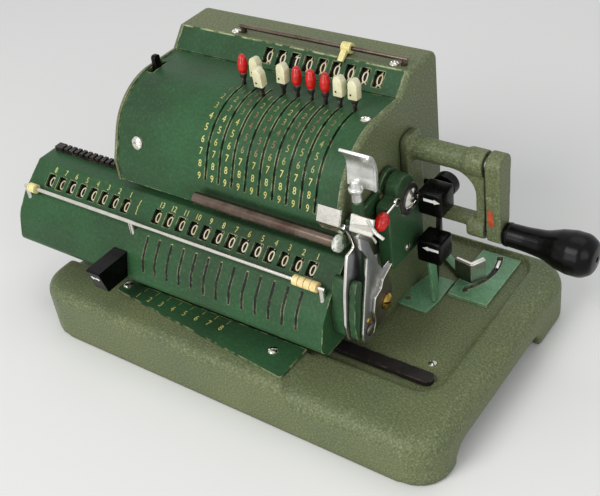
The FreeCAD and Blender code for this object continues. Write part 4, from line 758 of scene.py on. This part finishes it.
# ---- crank grip: a turned handle with a bulb and a small centre hole
gripHandle = {"axis": (0, 28, 72.2), "profile": [
    (105.5, 2.3), (105.5, 5.7, 0.6), (107.4, 6.0, 0.4), (108.0, 5.7, 0.4), (116, 5.9, 20), (125, 6.8, 16),
    (132, 9.4, 9), (138, 10.5, 7), (144.5, 10.4, 6), (149.2, 7.4, 4), (149.9, 1.3, 0.4), (148.3, 1.2),
    (148.3, 0)]}
addPiece("gripHandle", "grip", turnedShape(gripHandle["profile"], gripHandle["axis"], alongX, 56),
         blackPhenolic, ["crank_grip"], 50)
print("grip made")


# ---- shift keys: black cubes with a white arrow, one on a thin dark strip, one on a green blade
shiftKeys = {
    "shift_right_key": {"body": "right_key", "y": 17.0, "z": 90.3, "arrow": 1},
    "shift_left_key": {"body": "left_key", "y": 13.8, "z": 64.4, "arrow": -1},
}
keyCube = {"x": 75, "size": 12.9, "soft": 1.5, "arrowX": 76.4, "arrowRise": 2.6}
keyArrow = [(-4.3, -0.75), (1.2, -0.75), (1.2, -1.4), (4.3, 0), (1.2, 1.4), (1.2, 0.75), (-4.3, 0.75)]
for node, key in shiftKeys.items():
    name, size = node.replace("_", ""), keyCube["size"]
    middle = (keyCube["x"], key["y"], key["z"])
    cube = barShape((size, size, size), middle, alongX, alongZ, keyCube["soft"], 4)
    addPiece(name + "Cap", key["body"], cube, blackPhenolic)
    pointing = [(across * key["arrow"], up) for across, up in keyArrow]
    face = fromFront(keyCube["arrowX"], key["y"] - size / 2 - 0.02, key["z"] + keyCube["arrowRise"])
    addPiece(name + "Arrow", key["body"], plateShape(pointing, 0.1, face), whiteFilling)
rightKeyStrip = {"y": 24.6, "thick": 1.5, "soft": 0.2,
                 "outline": [(66.6, 24.2), (69.1, 24.2), (74.2, 85), (71.6, 85)]}
addPiece("rightKeyStrip", "right_key", plateFrom(rightKeyStrip, fromFront(0, rightKeyStrip["y"])), blackJapan,
         ["shift_right_key"])
leftKeyBlade = {"x": 70.4, "thick": 1.6, "soft": 0.4, "outline": [
    (17.6, 24.2, 1), (23.4, 24.2, 1), (21.6, 45, 6), (19.8, 59), (14.0, 59), (15.4, 45, 6)]}
addPiece("leftKeyBlade", "left_key", plateFrom(leftKeyBlade, fromSide(leftKeyBlade["x"])), plateEnamel,
         ["shift_left_key"])
keyDeckSheet = {"z": 22.76, "thick": 1.5, "soft": 0.25, "outline": [
    (53.9, 10.2, 0.6), (70.4, 10.2, 1.2), (71.8, 20, 1), (71.8, 38, 1), (57.5, 38, 1), (53.9, 24, 3)]}
addPiece("keyDeckSheet", "machine", plateFrom(keyDeckSheet, fromAbove(0, 0, keyDeckSheet["z"])), plateEnamel,
         ["key_plate"])
print("keys made")


# ---- thumb latch: two upright faces of one sheet, the left in darker blued steel as painted shade and the right in bright aluminium as painted highlight, folded at a corner painted bright in nickel, on a tang over the slotted plate
thumbLatch = {"left": (71.0, 41.4), "fold": (80.4, 40.1), "right": (84.3, 47.5), "foot": 24.4, "high": 11.4,
              "sheet": 1.1, "seam": (80.5, 40.0), "seamRadius": 0.75}
left, fold, right = thumbLatch["left"], thumbLatch["fold"], thumbLatch["right"]
foot, high, seam = thumbLatch["foot"], thumbLatch["high"], thumbLatch["seamRadius"]
for name, path, material, stands in (("thumbShadedFace", [left, fold], bluedSteel, ["latch_thumb"]),
                                     ("thumbLitFace", [fold, right], castAluminium, ())):
    addPiece(name, "thumb_latch", bentShape(path, high, thumbLatch["sheet"], fromAbove(0, 0, foot), 0.2),
             material, stands)
# nickel strip along the top and rod down the fold: painted highlight on the bent corner
edge = joinShapes(
    bentShape([left, fold, right], 0.5, 1.5, fromAbove(0, 0, foot + high - 0.3), 0.1),
    turnedShape([(0, 0), (0, seam), (high, seam), (high, 0)], (*thumbLatch["seam"], foot), alongZ, 16))
addPiece("thumbFoldHighlight", "thumb_latch", edge, nickelPlate)
thumbTang = {"z": 24.5, "thick": 0.9, "soft": 0.2,
             "outline": [(56.1, 58.0, 2), (53.7, 54.3, 2), (73.8, 41.4), (76.2, 44.8)]}
addPiece("thumbTang", "thumb_latch", plateFrom(thumbTang, fromAbove(0, 0, thumbTang["z"])), plateEnamel)
latchSlot = {"outline": arcOutline((57.4, 54.5), 26.6, 31.4, range(-34, 37, 5)), "z": 22.08, "thick": 0.12,
             "soft": 0, "link": (1.7, 6.4, 1.2), "linkPlace": (85.5, 60.6, 22.9),
             "linkTurn": math.radians(12)}
addPiece("latchSlotShade", "machine", plateFrom(latchSlot, fromAbove(0, 0, latchSlot["z"])), blackJapan)
turn = latchSlot["linkTurn"]
link = barShape(latchSlot["link"], latchSlot["linkPlace"], (math.cos(turn), math.sin(turn), 0),
                (-math.sin(turn), math.cos(turn), 0), 0.4)
addPiece("latchSlotLink", "machine", link, castAluminium)
rivetProfile = [(-0.4, 0), (-0.4, 1.6), (0.15, 1.6, 0.1), (0.15, 0)]
for name, x, y in (("latchRivet", 80.0, 33.6), ("keyDeckRivet", 57.2, 15.6)):
    addPiece(name, "machine", turnedShape(rivetProfile, (x, y, 23.5), alongZ, 24), bluedSteel)
print("thumb latch made")


# ---- a chip in the enamel down the inner edge of the crank arm
armChip = {"y": 22.75, "thick": 0.3, "soft": 0, "outline": [
    (98.6, 94.0, 0.3), (100.4, 94.6, 0.3), (101.2, 86, 3), (102.0, 78.5, 1), (99.6, 77.0, 0.6),
    (98.5, 82, 1)]}
addPiece("armChip", "crank", plateFrom(armChip, fromFront(0, armChip["y"])), redPrimer)
print("chip made")


# ---- clearing levers: plates on one stud, each with a scooped wing; outlines are drawn from the stud
studPlace = (-37.5, 49)
nearOutline = [
    (-8, -5, 5), (6, -5, 5), (5, 11, 8), (6.5, 31, 8), (9.5, 44.5, 3), (6.5, 53, 6), (-2.0, 59.5, 0.3),
    (-3.4, 58, 0.3), (-0.5, 55, 4), (3, 44, 1), (-2.9, 43, 1.5), (-7.5, 25, 20), (-10, 7, 8)]
farOutline = [
    (-5, -6, 3.5), (0.8, -6.4, 2), (3.4, -2, 2), (3.0, 8, 3), (5.2, 15, 2), (10.6, 17, 2), (12.4, 20.4, 2),
    (21, 23.8, 1), (21.6, 26.0, 1), (15, 25.4, 2), (11.5, 31, 3), (12, 36, 0.8), (9.5, 37, 2), (6, 47, 3),
    (5.5, 53, 3), (-2.0, 59.5, 0.3), (-3.4, 58, 0.3), (-0.5, 55, 3), (0, 46, 2), (4, 39, 3), (-1.5, 17, 8),
    (-5, 1, 6)]
clearLevers = {
    "result_clear_lever": {"body": "result_lever", "x": 62.2, "outline": nearOutline, "wing": (50.0, 11.6)},
    "counter_clear_lever": {"body": "counter_lever", "x": 67.8, "outline": farOutline, "wing": (67.0, 11.0)},
}
leverPlate = {"thick": 1.6, "soft": 0.3}
leverWing = {"path": [(-2.4, 54.6), (-5.3, 60.2, 1.2), (-2.6, 67.2)], "thick": 1.2, "soft": 0.35}


def polishRims(piece, material):
    # edge faces of a plate that stands across X take the brighter metal, a painted highlight along the rims
    piece.data.materials.append(material)
    for face in piece.data.polygons:
        if abs(face.normal.x) < 0.8:
            face.material_index = 1


for node, lever in clearLevers.items():
    name, (wingX, wingWide) = node.replace("_", ""), lever["wing"]
    plate = plateFrom({**leverPlate, **lever}, fromSide(lever["x"], *studPlace))
    polishRims(addPiece(name + "Plate", lever["body"], plate, satinSteel, [node]), nickelPlate)
    # the wing takes bright nickel beside the satin plate: painted highlight
    wing = bendFrom({**leverWing, "wide": wingWide}, fromSide(wingX, *studPlace))
    addPiece(name + "Wing", lever["body"], wing, nickelPlate)
# the outer wing runs on into a drooping lip, in bright nickel as painted highlight
wingLip = {"y": -42.2, "wide": 1.4, "thick": 1.1, "soft": 0.3,
           "path": [(77.6, 118.2), (79.2, 114.6, 3), (81.0, 112.4, 3), (84.6, 110.6)]}
addPiece("outerWingLip", "counter_lever", bendFrom(wingLip, fromFront(0, wingLip["y"])), nickelPlate)
# the gusset in bright nickel: painted highlight
wingGusset = {"y": -41.6, "thick": 1.0, "soft": 0.3, "outline": [
    (66.9, 107.5, 1), (74.0, 108.6, 1), (81.0, 111.2, 1), (78.0, 114.0, 1), (67.0, 112.0, 1)]}
addPiece("outerWingGusset", "counter_lever", plateFrom(wingGusset, fromFront(0, wingGusset["y"])),
         nickelPlate)
# the outer plate's lower edge is turned out into a wavy flange, in bright nickel as painted highlight
plateFlange = {"x": 68.4, "wide": 1.5, "thick": 0.8, "soft": 0.2, "path": [
    (20.8, 24.6), (12.6, 20.8, 2), (10.8, 17.2, 2), (5.4, 15.4, 2), (3.2, 8.4, 4), (3.6, 1.8, 3),
    (1.2, -2.6)]}
addPiece("outerPlateFlange", "counter_lever", bendFrom(plateFlange, fromSide(plateFlange["x"], *studPlace)),
         nickelPlate)
addPiece("outerPlateRivet", "counter_lever", turnedShape(
    [(0, 0), (0, 1.5), (0.7, 1.3, 0.3), (0.9, 0)], (68.6, -37.6, 54.6), alongX, 20), turnedBrass)
# green cheeks of the carriage beside and between the two plates
cheekOutline = [(-7.6, -3, 4), (4, -4, 3), (4.5, 10, 4), (3, 24, 4), (-3, 32, 3), (-5.6, 24, 10),
                (-8.2, 8, 6)]
for name, x, wide in (("innerCheek", 57.6, 6.8), ("middleCheek", 65.0, 3.2)):
    addPiece(name, "carriage", plateShape(cheekOutline, wide, fromSide(x, *studPlace), 0.3), sheetEnamel)
# the hub's disc, the stud that carries both levers, a second short stud and its screw
clearHub = {"disc": (65, -27.4, 56), "discRadius": 15.3, "x": 54, "short": (-20, 50),
            "screw": (66, -18.0, 50.6)}
wide = clearHub["discRadius"]
hub = turnedShape([(-1, 0), (-1, wide, 0.3), (1, wide, 0.3), (1, 0)], clearHub["disc"], alongX, 56)
addPiece("hubDisc", "carriage", hub, bluedSteel, ["clear_lever_hub"])
stud = joinShapes(
    turnedShape([(0, 0), (0, 4), (7.3, 4), (7.3, 2.45), (14.6, 2.45), (14.6, 2.9, 0.4), (15.6, 2.9, 0.4),
                 (16, 1.6, 0.3), (16, 0)], (clearHub["x"], *studPlace), alongX, 32),
    turnedShape([(0, 0), (0, 4), (10, 4), (10, 0)], (clearHub["x"], *clearHub["short"]), alongX, 32))
addPiece("hubStud", "carriage", stud, bluedSteel)
addPiece("hubScrew", "carriage", screwShape(4.2, 2.4, clearHub["screw"], alongX, 20, 0.14), turnedBrass)
print("clearing levers made")


# ---- clearing bar: steel rod, green arm with its stub, ferrule and thumb tab
clearBar = {"rod": (0, -36.2, 94.0), "rodRadius": 3.0, "armX": 55.0, "armWide": 2.2, "armHalf": 4,
            "tab": (60.3, -25.5)}
rodRadius, armHalf, tabAxis = clearBar["rodRadius"], clearBar["armHalf"], (*clearBar["tab"], 0)
barProfile = [(-28, 0), (-28, 2.2), (-27.3, rodRadius, 0.4), (56.0, rodRadius), (56.0, 0)]
addPiece("clearingRod", "clearing_bar", turnedShape(barProfile, clearBar["rod"], alongX, 32), groundSteel)
armAngle = math.atan2(clearBar["rod"][2] - drumAxis.z, clearBar["rod"][1] - drumAxis.y)
armSeat = facing((clearBar["armX"] + clearBar["armWide"] / 2, drumAxis.y, drumAxis.z),
                 (0, math.cos(armAngle), math.sin(armAngle)), (0, -math.sin(armAngle), math.cos(armAngle)))
arm = joinShapes(
    plateShape([(6.2, -armHalf, 0), (42.7, -armHalf, 3.5), (42.7, armHalf, 3.5), (6.2, armHalf, 0)],
               clearBar["armWide"], armSeat, 0.3),
    turnedShape([(55, 6.1), (55, 9.4, 0.3), (57.2, 9.4, 0.3), (57.2, 6.1), (55, 6.1)], drumAxis, alongX),
    barShape((5.3, 7.0, 8.0), (57.7, tabAxis[1], 98), alongX, (0, 1, 0), 0.8),
    turnedShape([(100.5, 0), (100.5, 2.8), (111.6, 2.8, 0.3), (111.6, 0)], tabAxis, alongZ, 28))
addPiece("clearingArm", "clearing_bar", arm, sheetEnamel, ["clear_bar"])
ferruleProfile = [(54.3, rodRadius), (54.3, 4.0, 0.5), (57.2, 4.1, 0.8), (57.6, 2.0, 0.4), (57.6, 0)]
addPiece("rodFerrule", "clearing_bar", turnedShape(ferruleProfile, clearBar["rod"], alongX, 32), flakedPaint)
thumbTab = {"x": 56.2, "wide": 14.4, "thick": 1.5, "soft": 0.4, "path": [
    (-24.6, 119.4), (-23.9, 124.5, 10), (-23.7, 132.0, 12), (-26.2, 137.4, 5), (-29.2, 139.9)]}
tabRim = {**thumbTab, "x": 70.1, "wide": 1.3, "thick": 2.2}
thumb = joinShapes(*[bendFrom(part, fromSide(part["x"])) for part in (thumbTab, tabRim)])
addPiece("tabThumb", "clearing_bar", thumb, castAluminium, ["clear_bar_tab"])
addPiece("tabStem", "clearing_bar", turnedShape(
    [(111.6, 0), (111.6, 2.5, 0.3), (115.6, 2.3, 0.4), (116.6, 2.5), (116.8, 3.5, 0.6), (118.6, 3.5, 0.6),
     (118.8, 2.6, 0.3), (122.5, 2.2, 0.8), (123.0, 0)], tabAxis, alongZ, 28), castAluminium)
print("clearing bar made")


# ---- bead on its wire
redBead = {"place": (66.35, -16.5, 96), "axis": (0, -0.7, -0.7), "eyeY": -3.4, "wireY": -4.2, "wireZ": 98.4,
           "profile": [(-4.5, 0), (-4.4, 1.2, 0.6), (-2.4, 2.9, 1.6), (0.6, 3.3, 2.4), (3.2, 2.4, 1.6),
                       (4.5, 0.8, 0.4), (4.5, 0)]}
bead = turnedShape(redBead["profile"], redBead["place"], redBead["axis"], 28)
addPiece("redBead", "bead", bead, redAcetate)
wireX, wireZ = redBead["place"][0], redBead["wireZ"]
wire = joinShapes(
    turnedShape([(0, 0), (0, 0.7), (13, 0.7), (13, 0)], (wireX, redBead["wireY"], wireZ), (0, -1, -0.1), 12),
    turnedShape([(-0.75, 1.05), (-0.75, 2.2, 0.3), (0.75, 2.2, 0.3), (0.75, 1.05)],
                (wireX, redBead["eyeY"], wireZ), alongX, 24))
addPiece("beadWire", "bead", wire, nickelPlate, ["bead_lever"])
print("bead made")


# ---- stage, light and camera
floorLook = {"colour": "#e9e8e4", "half": 2.5, "drop": 0.0002}  # in metres
floorShape = bmesh.new()
bmesh.ops.create_grid(floorShape, x_segments=1, y_segments=1, size=floorLook["half"])
floorMesh = bpy.data.meshes.new("floor")
floorShape.to_mesh(floorMesh)
floorShape.free()
floor = newObject("floor", floorMesh)
floor.location.z = -floorLook["drop"]
floorMesh.materials.append(startMaterial("pale_floor", {
    "Base Color": linear(floorLook["colour"]), "Roughness": 0.9, "Specular IOR Level": 0.1})[0])

# a soft sky lights the machine; camera, gloss and glass see a paler one
studio = {"sky": "#e6eaf0", "skyStrength": 0.5, "backdrop": "#ffffff", "backdropStrength": 0.9}
world = bpy.data.worlds.new("studio")
bpy.context.scene.world = world
world.use_nodes = True
sky = world.node_tree
sky.nodes.clear()
rays = addNode(sky, "LightPath", {}, {})
seen = addNode(sky, "Math", {"operation": "MAXIMUM"}, {
    0: rays.outputs["Is Camera Ray"], 1: rays.outputs["Is Glossy Ray"]})
seen = addNode(sky, "Math", {"operation": "MAXIMUM"}, {
    0: seen.outputs[0], 1: rays.outputs["Is Transmission Ray"]})
ambient = addNode(sky, "Background", {}, {"Color": linear(studio["sky"]), "Strength": studio["skyStrength"]})
backdrop = addNode(sky, "Background", {}, {
    "Color": linear(studio["backdrop"]), "Strength": studio["backdropStrength"]})
mixed = addNode(sky, "MixShader", {}, {0: seen.outputs[0], 1: ambient.outputs[0], 2: backdrop.outputs[0]})
addNode(sky, "OutputWorld", {}, {"Surface": mixed.outputs[0]})

lamps = {
    # name: place, size, watts; all aim at the machine's middle
    "keyLamp": ((-0.35, -1.15, 1.15), 0.7, 11.5),
    "lowLamp": ((-0.2, -1.5, 0.35), 0.8, 6.0),
    "fillLamp": ((1.15, -0.75, 0.8), 0.9, 6.0),
    "topLamp": ((0.1, 0.5, 1.5), 1.0, 4.0),
}
for name, (spot, size, watts) in lamps.items():
    light = bpy.data.lights.new(name, "AREA")
    light.size, light.energy = size, watts
    lamp = newObject(name, light)
    lamp.location = spot
    lamp.rotation_euler = (Vector((0, 0, 0.07)) - Vector(spot)).to_track_quat("-Z", "Y").to_euler()

cameraLook = {"place": (0.27507, -0.32618, 0.36790), "right": (0.8159, 0.5664, -0.1163),
              "up": (-0.2693, 0.5502, 0.7906), "lens": 61.69}
cameraData = bpy.data.cameras.new("camera")
cameraData.lens, cameraData.sensor_width = cameraLook["lens"], 36
camera = newObject("camera", cameraData)
camera.matrix_world = facing(cameraLook["place"], cameraLook["right"], cameraLook["up"])
bpy.context.scene.camera = camera
bpy.context.scene.view_settings.view_transform = "Standard"
